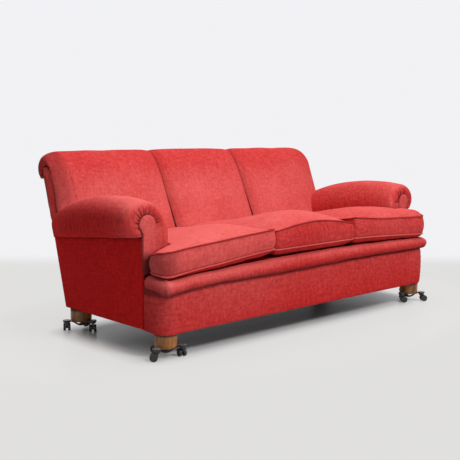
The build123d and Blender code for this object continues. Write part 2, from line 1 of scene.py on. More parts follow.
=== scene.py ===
import bpy
import json
import numpy as np
from math import cos, sin, tan, pi, radians
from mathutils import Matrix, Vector


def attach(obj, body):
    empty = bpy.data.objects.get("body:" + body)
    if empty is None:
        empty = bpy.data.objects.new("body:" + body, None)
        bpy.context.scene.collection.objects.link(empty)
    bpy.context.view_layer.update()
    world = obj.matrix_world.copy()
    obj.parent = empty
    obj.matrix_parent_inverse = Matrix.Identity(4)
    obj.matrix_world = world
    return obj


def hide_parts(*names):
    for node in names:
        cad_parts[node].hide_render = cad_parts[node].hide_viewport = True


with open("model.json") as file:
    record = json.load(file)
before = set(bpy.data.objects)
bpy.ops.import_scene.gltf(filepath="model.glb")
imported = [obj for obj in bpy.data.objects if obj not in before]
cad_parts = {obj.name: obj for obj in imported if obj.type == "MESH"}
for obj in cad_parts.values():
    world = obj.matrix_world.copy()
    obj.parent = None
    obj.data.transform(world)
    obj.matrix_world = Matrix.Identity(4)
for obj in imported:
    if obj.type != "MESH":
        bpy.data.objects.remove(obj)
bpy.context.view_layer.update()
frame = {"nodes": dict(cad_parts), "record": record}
print("frame loaded:", len(frame["nodes"]), "nodes")

# places that the pieces share, in metres
rake = radians(15.6)
base = {"half": 0.88, "innerHalf": 0.866, "bottom": 0.104, "armFront": -0.34567, "borderFront": -0.47267,
        "sideLength": 0.6, "rearSlope": tan(rake), "corner": 0.06, "deckTop": 0.348, "armSeam": 0.478,
        "seamFall": 0.0845}
sides = (("left", -1, "Left"), ("right", 1, "Right"))


def rearY(z, inset=0.0):  # plane of the outside back
    return base["armFront"] + base["sideLength"] + base["rearSlope"] * (z - base["bottom"]) - inset


def unit(t):  # kept between 0 and 1
    return np.clip(t, 0.0, 1.0)


def ease(t):  # smooth step from 0 to 1
    t = unit(t)
    return t * t * (3 - 2 * t)


def bell(t):  # 1 at 0, fading to both sides
    return np.exp(-t**2)


def rounded(distance, reach):  # 0 at an edge, rising to 1 at this reach
    return 1 - (1 - unit(distance / reach)) ** 2


def along(table, at):  # value from a short list of (place, value), eased between them
    places, values = np.array(table, float).T
    at = np.clip(at, places[0], places[-1])
    k = np.clip(np.searchsorted(places, at) - 1, 0, len(places) - 2)
    h = places[k + 1] - places[k]
    t = (at - places[k]) / h
    slopes = np.gradient(values, places)
    return ((2 * t**3 - 3 * t**2 + 1) * values[k] + (t**3 - 2 * t**2 + t) * h * slopes[k]
            + (3 * t**2 - 2 * t**3) * values[k + 1] + (t**3 - t**2) * h * slopes[k + 1])


def waviness(points, size, seed):  # gentle unevenness between -1 and 1
    dice = np.random.default_rng(seed)
    total = 0
    for number in range(5):
        way = dice.normal(size=3)
        way = way / np.linalg.norm(way) * 2 * pi / (size * dice.uniform(0.7, 1.6))
        total = total + np.sin(points @ way + dice.uniform(0, 2 * pi))
    return total / 3.2


def runDown(rows):  # length from the first row to each point
    steps = np.linalg.norm(np.diff(rows, axis=0), axis=-1)
    return np.concatenate([np.zeros_like(steps[:1]), np.cumsum(steps, axis=0)])


def lineThrough(points, count):  # smooth line through points, evenly spaced
    points = np.array(points, float)
    steps = runDown(points)
    fine = np.linspace(0, steps[-1], 40 * len(points))
    line = np.array([along(np.c_[steps, column], fine) for column in points.T]).T
    run = runDown(line)
    even = np.linspace(0, run[-1], count)
    return np.array([np.interp(even, run, column) for column in line.T]).T


def outward(rings):  # normals of a surface made of closed rings
    around = np.roll(rings, -1, axis=1) - np.roll(rings, 1, axis=1)
    normals = np.cross(around, np.gradient(rings, axis=0))
    normals /= np.maximum(np.linalg.norm(normals, axis=2, keepdims=True), 1e-12)
    middle = rings.mean(axis=1, keepdims=True)
    return normals if (normals * (rings - middle)).sum() > 0 else -normals


def mirrored(points, side):
    return np.asarray(points) * (side, 1, 1)


def choose(piece=None):  # makes this the only selected object
    if bpy.context.mode != "OBJECT":
        bpy.ops.object.mode_set(mode="OBJECT")
    bpy.ops.object.select_all(action="DESELECT")
    if piece:
        piece.select_set(True)
        bpy.context.view_layer.objects.active = piece


def applied(piece, kind, **settings):  # adds a modifier and applies it
    choose(piece)
    modifier = piece.modifiers.new(kind.title(), kind)
    for key, value in settings.items():
        setattr(modifier, key, value)
    bpy.ops.object.modifier_apply(modifier=modifier.name)


def tidyNormals(piece):
    choose(piece)
    bpy.ops.object.mode_set(mode="EDIT")
    bpy.ops.mesh.select_all(action="SELECT")
    bpy.ops.mesh.normals_make_consistent(inside=False)
    bpy.ops.object.mode_set(mode="OBJECT")
    bpy.ops.object.shade_smooth()


def mark(mesh, marks):  # how much wear and painted light, and how much painted shade, each point has
    for key, values in marks.items():
        layer = mesh.attributes.new(key, "FLOAT", "POINT")
        layer.data.foreach_set("value", np.asarray(values, np.float32).ravel())


def newMesh(name, points, faces, uv, marks):
    mesh = bpy.data.meshes.new(name)
    mesh.from_pydata(np.asarray(points).tolist(), [], [list(map(int, face)) for face in faces])
    layer = mesh.uv_layers.new(name="weave")
    layer.data.foreach_set("uv", np.asarray(uv, np.float32).ravel())
    mark(mesh, marks)
    piece = bpy.data.objects.new(name, mesh)
    bpy.context.scene.collection.objects.link(piece)
    tidyNormals(piece)
    return piece


def skin(name, rings, wearAndLight=0.0, paintedShade=0.0):  # stuffed cover made of closed rings, its cloth laid along them
    rings = np.asarray(rings, float)
    shape = rings.shape[:2]
    rows, columns = shape
    loop = np.concatenate([rings, rings[:, :1]], axis=1)
    across, down = runDown(loop.swapaxes(0, 1)).T, runDown(loop)
    i, j = (grid.ravel() for grid in np.meshgrid(np.arange(rows - 1), np.arange(columns), indexing="ij"))
    corners = [(i, j), (i, j + 1), (i + 1, j + 1), (i + 1, j)]
    faces = np.stack([a * columns + b % columns for a, b in corners], axis=1).tolist()
    uv = np.stack([np.stack([across[a, b], down[a, b]], axis=1) for a, b in corners], axis=1).reshape(-1, 2)
    for row, way in ((0, -1), (rows - 1, 1)):
        faces.append((row * columns + np.arange(columns))[::way])
        uv = np.concatenate([uv, rings[row][::way][:, 1:]])
    marks = {"wearAndLight": np.broadcast_to(wearAndLight, shape), "paintedShade": np.broadcast_to(paintedShade, shape)}
    return newMesh(name, rings.reshape(-1, 3), faces, uv, marks)


def dress(piece, body, nodes, slot):
    piece.data.materials.clear()
    piece.data.materials.append(finish[slot])
    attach(piece, body)
    if nodes:
        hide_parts(*nodes)


def upholster(piece, node):  # red cover on the sofa's own body
    dress(piece, "sofa", [node], "red_wool")


class Socket:  # a shader value that takes part in sums
    def __init__(self, tree, out=None):
        self.tree, self.out = tree, out

    def add(self, kind, settings, sockets, pick=0):
        node = self.tree.nodes.new("ShaderNode" + kind)
        for key, value in settings.items():
            setattr(node, key, value)
        for key, value in sockets.items():
            if isinstance(value, Socket):
                self.tree.links.new(value.out, node.inputs[key])
            else:
                node.inputs[key].default_value = value
        return Socket(self.tree, node.outputs[pick] if node.outputs else None)

    def sum(self, operation, a, b=0.0):
        return self.add("Math", {"operation": operation}, {0: a, 1: b})

    def __add__(self, other):
        return self.sum("ADD", self, other)

    def __sub__(self, other):
        return self.sum("SUBTRACT", self, other)

    def __rsub__(self, other):
        return self.sum("SUBTRACT", other, self)

    def __mul__(self, other):
        return self.sum("MULTIPLY", self, other)

    __radd__ = __add__
    __rmul__ = __mul__

    def sine(self):
        return self.sum("SINE", self)

    def clamped(self):
        return self.add("Clamp", {}, {0: self})

    def eased(self, low, high):
        return self.add("MapRange", {"interpolation_type": "SMOOTHSTEP"}, {0: self, 1: low, 2: high})

    def blend(self, low, high):  # colour between two, with this value as the factor
        return self.add("Mix", {"data_type": "RGBA"}, {0: self, 6: low, 7: high}, 2)

    def tinted(self, colour):
        settings = {"data_type": "RGBA", "blend_type": "MULTIPLY"}
        return self.add("Mix", settings, {0: 1.0, 6: self, 7: colour}, 2)

    def ramp(self, stops):  # colour from this value, by a list of (place, colour)
        colour = self.add("ValToRGB", {}, {0: self})
        elements = colour.out.node.color_ramp.elements
        for number, (place, value) in enumerate(stops):
            stop = elements[number] if number < 2 else elements.new(place)
            stop.position, stop.color = place, (*value, 1)
        return colour

    # the rest treat this value as a place or a direction, and bump as a height
    def vector(self, operation, other=(0, 0, 0), pick=0):
        return self.add("VectorMath", {"operation": operation}, {0: self, 1: other}, pick)

    def axis(self, number):
        return self.add("SeparateXYZ", {}, {0: self}, number)

    def stretched(self, scale):
        return self.add("Mapping", {}, {"Vector": self, "Scale": scale})

    def noise(self, scale, detail=3.0, rough=0.55):
        sockets = {"Vector": self, "Scale": scale, "Detail": detail, "Roughness": rough}
        return self.add("TexNoise", {}, sockets)

    def streaks(self, scale, detail=2.0, rough=0.55):
        return self.stretched(scale).noise(1.0, detail, rough)

    def bump(self, strength, distance):
        return self.add("Bump", {}, {"Strength": strength, "Distance": distance, "Height": self})


def emptyTree(owner):  # node tree of a material or the world, ready to fill
    owner.use_nodes = True
    owner.node_tree.nodes.clear()
    return Socket(owner.node_tree)


def objectPlace(start):
    return start.add("TexCoord", {}, {}, 3)


def shader(build):
    material = bpy.data.materials.new(build.__name__)
    start = emptyTree(material)
    surface = start.add("BsdfPrincipled", {}, build(objectPlace(start)))
    start.add("OutputMaterial", {}, {"Surface": surface})
    return material


# dark is the near-black that painted shade blends the cloth towards
wool = {"deep": (0.46, 0.0060, 0.0066, 1), "faded": (0.70, 0.110, 0.103, 1), "dark": (0.040, 0.002, 0.003, 1),
        "shaded": (0.72, 0.62, 0.62, 1), "lit": (1.24, 1.5, 1.5, 1), "pitch": 0.0026, "slub": 0.30,
        "fleck": 0.75}


def redWool(place):
    uv = place.add("UVMap", {"uv_map": "weave"}, {})
    # the wear mark fades the red; on some pieces it also carries painted light
    wearAndLight = place.add("Attribute", {"attribute_name": "wearAndLight"}, {}, 2)
    paintedShade = place.add("Attribute", {"attribute_name": "paintedShade"}, {}, 2)
    patch = place.noise(5.0, 4.0)
    cloud = place.noise(1.7, 2.0)
    warp = uv.streaks((620.0, 26.0, 1.0))
    weft = uv.streaks((26.0, 620.0, 1.0))
    grain = uv.noise(900.0, 2.0)
    fleck = uv.noise(62.0, 3.0, 0.6)
    strand = uv.streaks((18.0, 90.0, 1.0))
    cross = uv.streaks((90.0, 18.0, 1.0))
    turn = 2 * pi / wool["pitch"]
    thread = (uv.axis(0) * turn).sine() * (uv.axis(1) * turn).sine()
    slub = (warp + weft - 1.0) * 1.6 + (grain - 0.5) * 0.8
    mottle = (fleck - 0.5) * 1.4 + (strand + cross - 1.0) * 0.75
    rubbed = wearAndLight * (0.5 + patch) + (cloud - 0.5) * (0.06 + 0.45 * wearAndLight)
    fade = (rubbed + (slub * wool["slub"] * 0.5 + mottle * 0.35) * wearAndLight).clamped()
    tone = (0.5 + slub * wool["slub"] + mottle * (1.7 - 1.6 * wearAndLight) * wool["fleck"]).clamped()
    colour = fade.blend(wool["deep"], wool["faded"])
    colour = tone.blend(colour.tinted(wool["shaded"]), colour.tinted(wool["lit"]))
    # painted shade: the cloth darkens towards near-black by each point's shade mark
    colour = (paintedShade * 0.9).clamped().blend(colour, wool["dark"])
    return {"Base Color": colour, "Roughness": 0.88, "Specular IOR Level": 0.06, "Sheen Weight": 0.05,
            "Sheen Roughness": 0.45, "Sheen Tint": (1.0, 0.40, 0.36, 1),
            "Normal": (0.5 * thread + slub * 0.7).bump(0.4, 0.0009)}


def footWood(place):
    grain = place.streaks((70.0, 70.0, 16.0), 5.0, 0.65)
    rings = place.streaks((22.0, 22.0, 40.0), 3.0)
    scuff = place.noise(90.0, 4.0)
    mix = (grain * 0.75 + rings * 0.45 - 0.1).clamped()
    colour = mix.ramp([(0.30, (0.075, 0.021, 0.003)), (0.86, (0.57, 0.25, 0.045)),
                       (0.58, (0.31, 0.105, 0.011))])
    shade = ((place.axis(2) - 0.087) * 90.0).clamped()  # painted shadow in the joint under the frame
    return {"Base Color": shade.blend(colour, (0.012, 0.006, 0.003, 1)),
            "Roughness": 0.20 + 0.25 * scuff + 0.5 * shade, "Specular IOR Level": 0.3,
            "Coat Weight": 0.35 - 0.35 * shade, "Coat Roughness": 0.08, "Normal": grain.bump(0.12, 0.0006)}


def frameWood(place):
    grain = place.streaks((9.0, 60.0, 60.0), 5.0, 0.6)
    colour = grain.ramp([(0.3, (0.30, 0.18, 0.09)), (0.75, (0.55, 0.40, 0.24))])
    return {"Base Color": colour, "Roughness": 0.62 + 0.2 * grain, "Normal": grain.bump(0.2, 0.0008)}


def blackIron(place):
    rub = place.noise(45.0, 4.0, 0.7)
    lift = place.add("NewGeometry", {}, {}, 1).axis(2)
    worn = ((rub * 1.6 - 0.15) * (lift * 0.9 + 0.05)).clamped()
    colour = worn.blend((0.012, 0.012, 0.013, 1), (0.30, 0.295, 0.285, 1))
    return {"Base Color": colour, "Roughness": 0.34 + 0.3 * rub, "Metallic": 0.25,
            "Normal": place.noise(260.0, 3.0).bump(0.15, 0.0004)}


def mouldedBlack(place):
    dust = place.noise(60.0, 3.0)
    colour = (dust * 0.5).clamped().blend((0.010, 0.010, 0.011, 1), (0.055, 0.053, 0.050, 1))
    return {"Base Color": colour, "Roughness": 0.38 + 0.25 * dust,
            "Normal": place.noise(420.0, 2.0).bump(0.12, 0.0003)}


def drawnSteel(place):
    streak = place.streaks((40.0, 400.0, 40.0), 3.0)
    colour = streak.blend((0.28, 0.28, 0.29, 1), (0.52, 0.52, 0.53, 1))
    return {"Base Color": colour, "Metallic": 0.9, "Roughness": 0.3 + 0.2 * streak}


def strapJute(place):
    warp = place.streaks((900.0, 60.0, 60.0))
    weft = place.streaks((60.0, 500.0, 900.0))
    colour = (warp * 0.6 + weft * 0.5).clamped().blend((0.26, 0.17, 0.08, 1), (0.62, 0.48, 0.29, 1))
    return {"Base Color": colour, "Roughness": 0.9, "Normal": (warp + weft).bump(0.5, 0.0008)}


def liningCloth(place):
    turn = 2 * pi / 0.0016
    weave = (place.axis(0) * turn).sine() * (place.axis(1) * turn).sine()
    lint = place.noise(55.0, 4.0)
    colour = (0.35 * weave + lint * 0.6).clamped().blend((0.010, 0.010, 0.010, 1), (0.06, 0.058, 0.056, 1))
    return {"Base Color": colour, "Roughness": 0.92, "Normal": (weave + lint).bump(0.3, 0.0005)}


finish = {"red_wool": shader(redWool), "foot_wood": shader(footWood), "frame_wood": shader(frameWood),
          "black_metal": shader(blackIron), "black_plastic": shader(mouldedBlack),
          "spring_steel": shader(drawnSteel), "jute": shader(strapJute), "dust_cloth": shader(liningCloth)}
finish["wheel_plastic"] = finish["black_plastic"]
for part in frame["record"]["subparts"]:
    node = frame["nodes"][part["node"]]
    node.data.materials.clear()
    node.data.materials.append(finish[part["material_slot"]])
print("finishes ready")


# front roll and border follow the same line round the front corners
def frontLine(step, corner):
    straight, wide = base["armFront"] - base["borderFront"] - corner, 2 * (base["half"] - corner)
    parts = np.array([straight, corner * pi / 2, wide, corner * pi / 2, straight])
    ends = np.r_[0, np.cumsum(parts)]
    run = np.linspace(0, ends[-1], int(ends[-1] / step))
    down, first, across, second, up = (np.clip(run - end, 0, part) for end, part in zip(ends, parts))
    angle = pi + (first + second) / corner
    ways = np.c_[np.cos(angle), np.sin(angle)]
    points = np.c_[across - wide / 2, base["armFront"] - down + up] + corner * ways
    return run, np.minimum(run, run[-1] - run)[:, None], points, ways


frontRoll = {"step": 0.004, "sides": 36, "reach": 0.0292, "side": 0.007, "depth": 0.042, "end": 0.024,
             "fullness": 2.2, "corner": 0.014, "lift": 0.009, "sag": 0.0012, "tucks": 0.0024,
             "tuckPitch": 0.0115,
             "low": [(-0.9, 0.254), (-0.84, 0.260), (-0.74, 0.271), (-0.6, 0.278), (-0.46, 0.278),
                     (-0.30, 0.277), (0.10, 0.284), (0.33, 0.289), (0.6, 0.289), (0.9, 0.287)],
             "high": [(-0.9, 0.322), (-0.83, 0.319), (-0.75, 0.326), (-0.6, 0.331), (-0.42, 0.339),
                      (0.09, 0.3515), (0.6, 0.349), (0.9, 0.344)],
             "wornAndLitTop": 0.55, "wornCorner": 0.25, "shadeLeftSide": 0.30, "shadeUnderRoll": 0.85}


def makeFrontRoll(spec):
    run, fromEnd, points, ways = frontLine(spec["step"], spec["corner"])
    x, y = points[:, :1], points[:, 1:]
    lift = spec["lift"] * ease((y + 0.47) / 0.10)
    low, high = along(spec["low"], x) + lift, along(spec["high"], x) + lift
    close = np.sqrt(np.clip(rounded(fromEnd, spec["end"]), 0.02, 1))
    angle = np.linspace(0, 2 * pi, spec["sides"], endpoint=False)
    c, s = np.cos(angle), np.sin(angle)
    power = 2 / spec["fullness"]
    out = np.sign(c) * np.abs(c) ** power * spec["depth"] * (0.35 + 0.65 * close)
    up = np.sign(s) * np.abs(s) ** power * (high - low) / 2 * close
    reach = spec["reach"] + 0.004 * ease((-0.5 - x) / 0.3) - 0.008 * ease((x - 0.7) / 0.17)
    offset = out - spec["depth"] - (1 - close) * 0.006
    rings = np.stack([x + ways[:, :1] * (offset + spec["side"]), y + ways[:, 1:] * (offset + reach),
                      (low + high) / 2 + up], axis=2)
    turn = bell((fromEnd - 0.124) / 0.026)  # 1 in the middle of a corner
    tuck = turn * unit(0.25 - s) * np.sin(run * 2 * pi / spec["tuckPitch"])[:, None]
    sag = waviness(rings, 0.09, 11) * spec["sag"] + tuck * spec["tucks"]
    rings += outward(rings) * (sag * close)[..., None]
    wearAndLight = 0.18 + 0.24 * ease((-0.1 - x) / 0.5)  # the left half is the lighter one
    # partly wear, partly painted light: the top of the roll is lighter
    wearAndLight = unit(wearAndLight + spec["wornAndLitTop"] * unit(s + 0.1) + spec["wornCorner"] * turn)
    # painted shade: the underside of the roll darkens towards its bottom, the tucks darken, and so does the
    # left side, turned from the light
    underShade = spec["shadeUnderRoll"] * unit((0.05 - s) / 1.05) ** 1.4
    paintedShade = np.minimum(underShade + unit(-tuck) * 0.5 + spec["shadeLeftSide"] * unit(-ways[:, :1]), 0.8)
    upholster(skin("frontRoll", rings, wearAndLight, paintedShade), "front_roll")


frontBorder = {"step": 0.005, "rows": 44, "top": 0.291, "depth": 0.014, "swell": 0.003, "seam": 0.004,
               "tuck": 0.0019, "tuckPitch": 0.026, "shadeLeftSide": 0.26, "worn": 0.22}


def makeFrontBorder(spec):
    fromEnd, points, ways = frontLine(spec["step"], base["corner"])[1:]
    x, y = points[:, :1], points[:, 1:]
    t = np.linspace(0, 1, spec["rows"])
    rise = t * (spec["top"] - base["bottom"])
    belly = np.sin(pi * t)
    lower = 0.003 * unit(1 - rise / 0.010) ** 2
    ends = spec["seam"] * unit(1 - (fromEnd - 0.0015) / 0.007) ** 2
    offset = spec["swell"] * belly**0.7 - lower - ends
    offset[:, -1] -= 0.004
    offset += 0.005 * ease((x - 0.55) / 0.3) * ease(fromEnd / 0.06) * belly**0.5
    hem = 0.002 + 0.001 * ease(fromEnd / 0.1) + 0.003 * bell((fromEnd - 0.13) / 0.06)
    z = base["bottom"] + rise - hem * (1 - t) ** 3
    flat = np.stack(np.broadcast_arrays(x, y, z), axis=2)
    tuck = bell((fromEnd - 0.13) / 0.07) * np.sin(z * 2 * pi / spec["tuckPitch"] + waviness(flat, 0.2, 3))
    tuck = tuck * spec["tuck"] * np.where(x < 0, 1.0, 0.3)
    offset = offset + tuck * unit((z - 0.12) / 0.03) + waviness(flat, 0.16, 5) * 0.0008
    wall = np.stack([x + ways[:, :1] * offset, y + ways[:, 1:] * offset, z], axis=2)
    inner = points - ways * spec["depth"]
    foot = z[:, [-1, 0]] + hem * (0, 1)
    inside = np.stack(np.broadcast_arrays(inner[:, :1], inner[:, 1:], foot), axis=2)
    rings = np.concatenate([wall, inside], axis=1)
    rings[..., 1] -= unit(0.0012 - fromEnd)
    turn = np.abs(ways[:, :1] * ways[:, 1:]) * 2
    wearAndLight = spec["worn"] + 0.06 * turn + 0.16 * ease((0.1 - x) / 0.7) * ease(fromEnd / 0.15)
    # lighter towards the top, darker towards the bottom
    wearAndLight = wearAndLight + 0.24 * np.r_[t - 0.5, 0, 0]
    # painted shade in the seams at the ends and on the left side, turned from the light
    seam = 0.92 * unit(1 - fromEnd / 0.008) * np.r_[np.ones(len(t)), 0, 0]
    paintedShade = seam + spec["shadeLeftSide"] * unit(-ways[:, :1])
    # painted shadow cast by the roll on the top of the border
    rollShadow = 0.8 * unit(1 - (along(frontRoll["low"], x) - z) / 0.016)
    paintedShade[:, :-2] = np.maximum(paintedShade[:, :-2], rollShadow)
    upholster(skin("frontBorder", rings, wearAndLight, paintedShade), "front_border")


makeFrontRoll(frontRoll)
makeFrontBorder(frontBorder)
print("front roll and border made")


# flat padded panels: outside arms, outside back, seat deck
panelEdge = {"rounding": np.array([0.0, 0.0012, 0.003, 0.006, 0.010]), "step": 0.012, "least": 8}


def rimOf(grid):  # round the edge of a grid, in order
    return np.concatenate([grid[:, 0], grid[-1, 1:], grid[-2::-1, -1], grid[0, -2:0:-1]])


def panel(name, corners, out, spec, seed):  # corners: low start, low end, high end, high start
    a, b, c, d = np.array(corners, float)
    out = np.array(out, float)
    wide, high = np.linalg.norm(b - a), np.linalg.norm(d - a)
    lines = []
    for length in (wide, high):
        near = panelEdge["rounding"] / length
        count = max(panelEdge["least"], int(length / panelEdge["step"]))
        lines.append(np.r_[near, np.linspace(near[-1], 1 - near[-1], count)[1:-1], 1 - near[::-1]])
    u, v = np.meshgrid(*lines, indexing="ij")
    flat = (a * ((1 - u) * (1 - v))[..., None] + b * (u * (1 - v))[..., None]
            + c * (u * v)[..., None] + d * ((1 - u) * v)[..., None])
    fromEdge = np.minimum(np.minimum(u, 1 - u) * wide, np.minimum(v, 1 - v) * high)
    lift = spec["swell"] * unit(fromEdge / 0.09) ** 0.6 - spec["edge"] * unit(1 - fromEdge / 0.009) ** 2
    lift = lift + waviness(flat, 0.22, seed) * 0.0008 * unit(fromEdge / 0.05)
    face = (flat + out * lift[..., None]).reshape(-1, 3)
    rows, columns = u.shape
    index = np.arange(rows * columns).reshape(rows, columns)
    rim = rimOf(index)
    rear = len(face) + np.arange(len(rim))
    faces = [(index[i, j], index[i + 1, j], index[i + 1, j + 1], index[i, j + 1])
             for i in range(rows - 1) for j in range(columns - 1)]
    faces += list(np.stack([rim, rear, np.roll(rear, -1), np.roll(rim, -1)], axis=1))
    faces.append(rear)
    points = np.concatenate([face, rimOf(flat) - out * spec["depth"]])
    place = np.stack([u * wide, v * high], axis=2).reshape(-1, 2)
    place = np.concatenate([place, place[rim]])
    uv = np.concatenate([place[np.array(face)] for face in faces])
    # painted shade along the rounded edge and on the rear rim
    paintedShade = np.concatenate([unit(1 - fromEdge / 0.007).ravel(), np.ones(len(rim))]) * spec["dark"]
    return newMesh(name, points, faces, uv, {"wearAndLight": np.full(len(points), spec["wearAndLight"]), "paintedShade": paintedShade})


outsideArm = {"depth": 0.014, "swell": 0.003, "edge": 0.005, "wearAndLight": 0.0, "dark": 0.35, "gap": 0.001,
              "length": 0.69}
outsideBack = {"depth": 0.008, "swell": 0.012, "edge": 0.005, "wearAndLight": 0.12, "dark": 0.35, "high": 0.70}
seatDeck = {"depth": 0.075, "swell": 0.002, "edge": 0.012, "wearAndLight": 0.0, "dark": 0.5, "half": 0.748,
            "under": 0.003, "setBack": 0.042}


def makeOutsideArms(spec):
    front, low, seam = base["armFront"] + spec["gap"], base["bottom"], base["armSeam"]
    seamBack = seam - base["seamFall"] * spec["length"]
    for name, side, label in sides:
        corners = [(front, low), (rearY(low), low), (rearY(seamBack), seamBack), (front, seam)]
        corners = [(side * base["half"], y, z) for y, z in corners]
        piece = panel("outsideArm" + label, corners, (side, 0, 0), spec, 20 + side)
        upholster(piece, "outside_arm_" + name)


def makeOutsideBack(spec):
    half = base["innerHalf"]
    places = [(half, base["bottom"]), (-half, base["bottom"]), (-half, spec["high"]), (half, spec["high"])]
    out = Vector((0, 1, -base["rearSlope"])).normalized()
    piece = panel("outsideBack", [(x, rearY(z), z) for x, z in places], tuple(out), spec, 31)
    upholster(piece, "outside_back")


def deckCorners(spec, left, right, back):
    front, top = base["borderFront"] + spec["setBack"], base["deckTop"] - spec["under"]
    return [(left, front, top), (right, front, top), (right, back, top), (left, back, top)]


def makeSeatDeck(spec):
    corners = deckCorners(spec, -spec["half"], spec["half"], rearY(0.30, 0.045))
    upholster(panel("seatDeck", corners, (0, 0, 1), spec, 41), "seat_deck")


makeOutsideArms(outsideArm)
makeOutsideBack(outsideBack)
makeSeatDeck(seatDeck)
print("flat panels made")


# rolled arms: inside arm and roll in one cover, drawn in gathers to the facing
arm = {"inner": 0.75, "ridge": 0.858, "outer": 0.955, "outerBack": 0.8765, "lip": 0.27,
       "top": [(0.0, 0.617), (0.1, 0.631), (0.2, 0.633), (0.3, 0.628), (0.4, 0.615), (0.5, 0.595),
               (0.6, 0.565), (0.68, 0.534), (0.73, 0.505)],
       "shoulder": 0.145, "belly": 0.45, "foot": 0.30, "length": 0.7245, "front": 0.004, "round": 0.036,
       "lean": -35.0, "gathers": 15, "gatherDepth": 0.0075, "gatherLength": (0.020, 0.062),
       "head": (-40, 176), "ripple": 0.0013, "ripplePitch": 0.034, "soft": 0.0012}
armFacing = {"x": 0.858, "z": 0.527, "radius": 0.040, "inner": 0.818, "outer": 0.88, "neck": 0.487,
             "low": 0.330, "proud": 0.0082}
# points of a slice: up the inside, over the ridge, down the roll, under it, along its lip, down, back
armCounts = (46, 110, 110, 60, 5, 10, 6)
insideEnd, lipStart, fallStart, footStart = np.cumsum(armCounts)[[1, 3, 4, 5]]


def straight(start, end, count):
    return np.linspace(start, end, count, endpoint=False)


def armRing(spec, place):  # slice of the right arm, as x and z
    top, seam = along(spec["top"], place), base["armSeam"] - base["seamFall"] * place
    outer = spec["outer"] - (spec["outer"] - spec["outerBack"]) * (place / 0.749) ** 2
    belly, shoulder = seam + spec["belly"] * (top - seam), top - spec["shoulder"]
    lip = base["half"] + spec["lip"] * (outer - base["half"])
    ridge, inner, inside, foot = spec["ridge"], spec["inner"], base["innerHalf"], spec["foot"]
    rise, over, roll, under, lipCount, fall, back = armCounts
    over, roll, under = (straight(0, pi / 2, count) for count in (over, roll, under))
    return np.concatenate([
        straight((inner, foot), (inner, shoulder), rise),
        np.c_[ridge - (ridge - inner) * np.cos(over), shoulder + (top - shoulder) * np.sin(over)],
        np.c_[ridge + (outer - ridge) * np.sin(roll), belly + (top - belly) * np.cos(roll)],
        np.c_[lip + (outer - lip) * np.cos(under), belly - (belly - seam) * np.sin(under)],
        straight((lip, seam), (inside, seam), lipCount),
        straight((inside, seam), (inside, foot), fall),
        straight((inside, foot), (inner, foot), back)])


def facingLine(facing, ring):  # where each point of the slice meets the facing
    x, z = ring.T
    head = np.array([facing["x"], facing["z"]])
    way = ring - head
    met = head + facing["radius"] * way / np.hypot(*way.T)[:, None]
    low = z < facing["z"]
    share = unit((facing["z"] - z) / (facing["z"] - base["armSeam"]))[:, None]
    outer = head + (facing["radius"], 0)
    outside = outer + ((facing["outer"], facing["neck"]) - outer) * share
    met[low] = outside[low]
    inside = low & (np.arange(len(ring)) < insideEnd)
    met[inside] = np.c_[np.full(inside.sum(), facing["inner"]), z[inside]]
    met[lipStart:] = ring[lipStart:]
    met[lipStart:fallStart, 0] = np.minimum(x[lipStart:fallStart], facing["outer"])
    met[lipStart:fallStart, 1] = facing["neck"] - 0.004
    met[footStart:, 0] = np.maximum(x[footStart:], facing["inner"])
    return met


def roundedEnd(full, met, axial, depth, lean, count):  # from the seam at the facing out to the full slice
    rings = []
    for turn in np.radians(np.linspace(lean, 90, count)):
        share = (sin(turn) - sin(radians(lean))) / (1 - sin(radians(lean)))
        rings.append((met + (full - met) * share, axial + depth * (1 - cos(turn))))
    return rings


def gathersAt(angle, reach, spec, seed):  # depth of the folds that run out from a facing's head
    dice = np.random.default_rng(seed)
    total = np.zeros_like(reach)
    for place in np.radians(np.linspace(*spec["head"], spec["gathers"])):
        length = dice.uniform(*spec["gatherLength"])
        depth = dice.uniform(0.55, 1.0)
        width = dice.uniform(0.0021, 0.0036) + 0.05 * reach
        gap = (angle - place - dice.normal() * 0.10 + pi) % (2 * pi) - pi
        window = ease(reach / 0.0025) * (1 - ease((reach - 0.3 * length) / (0.7 * length)))
        total = np.maximum(total, depth * window * bell(gap * (0.040 + reach) / width))
    return total


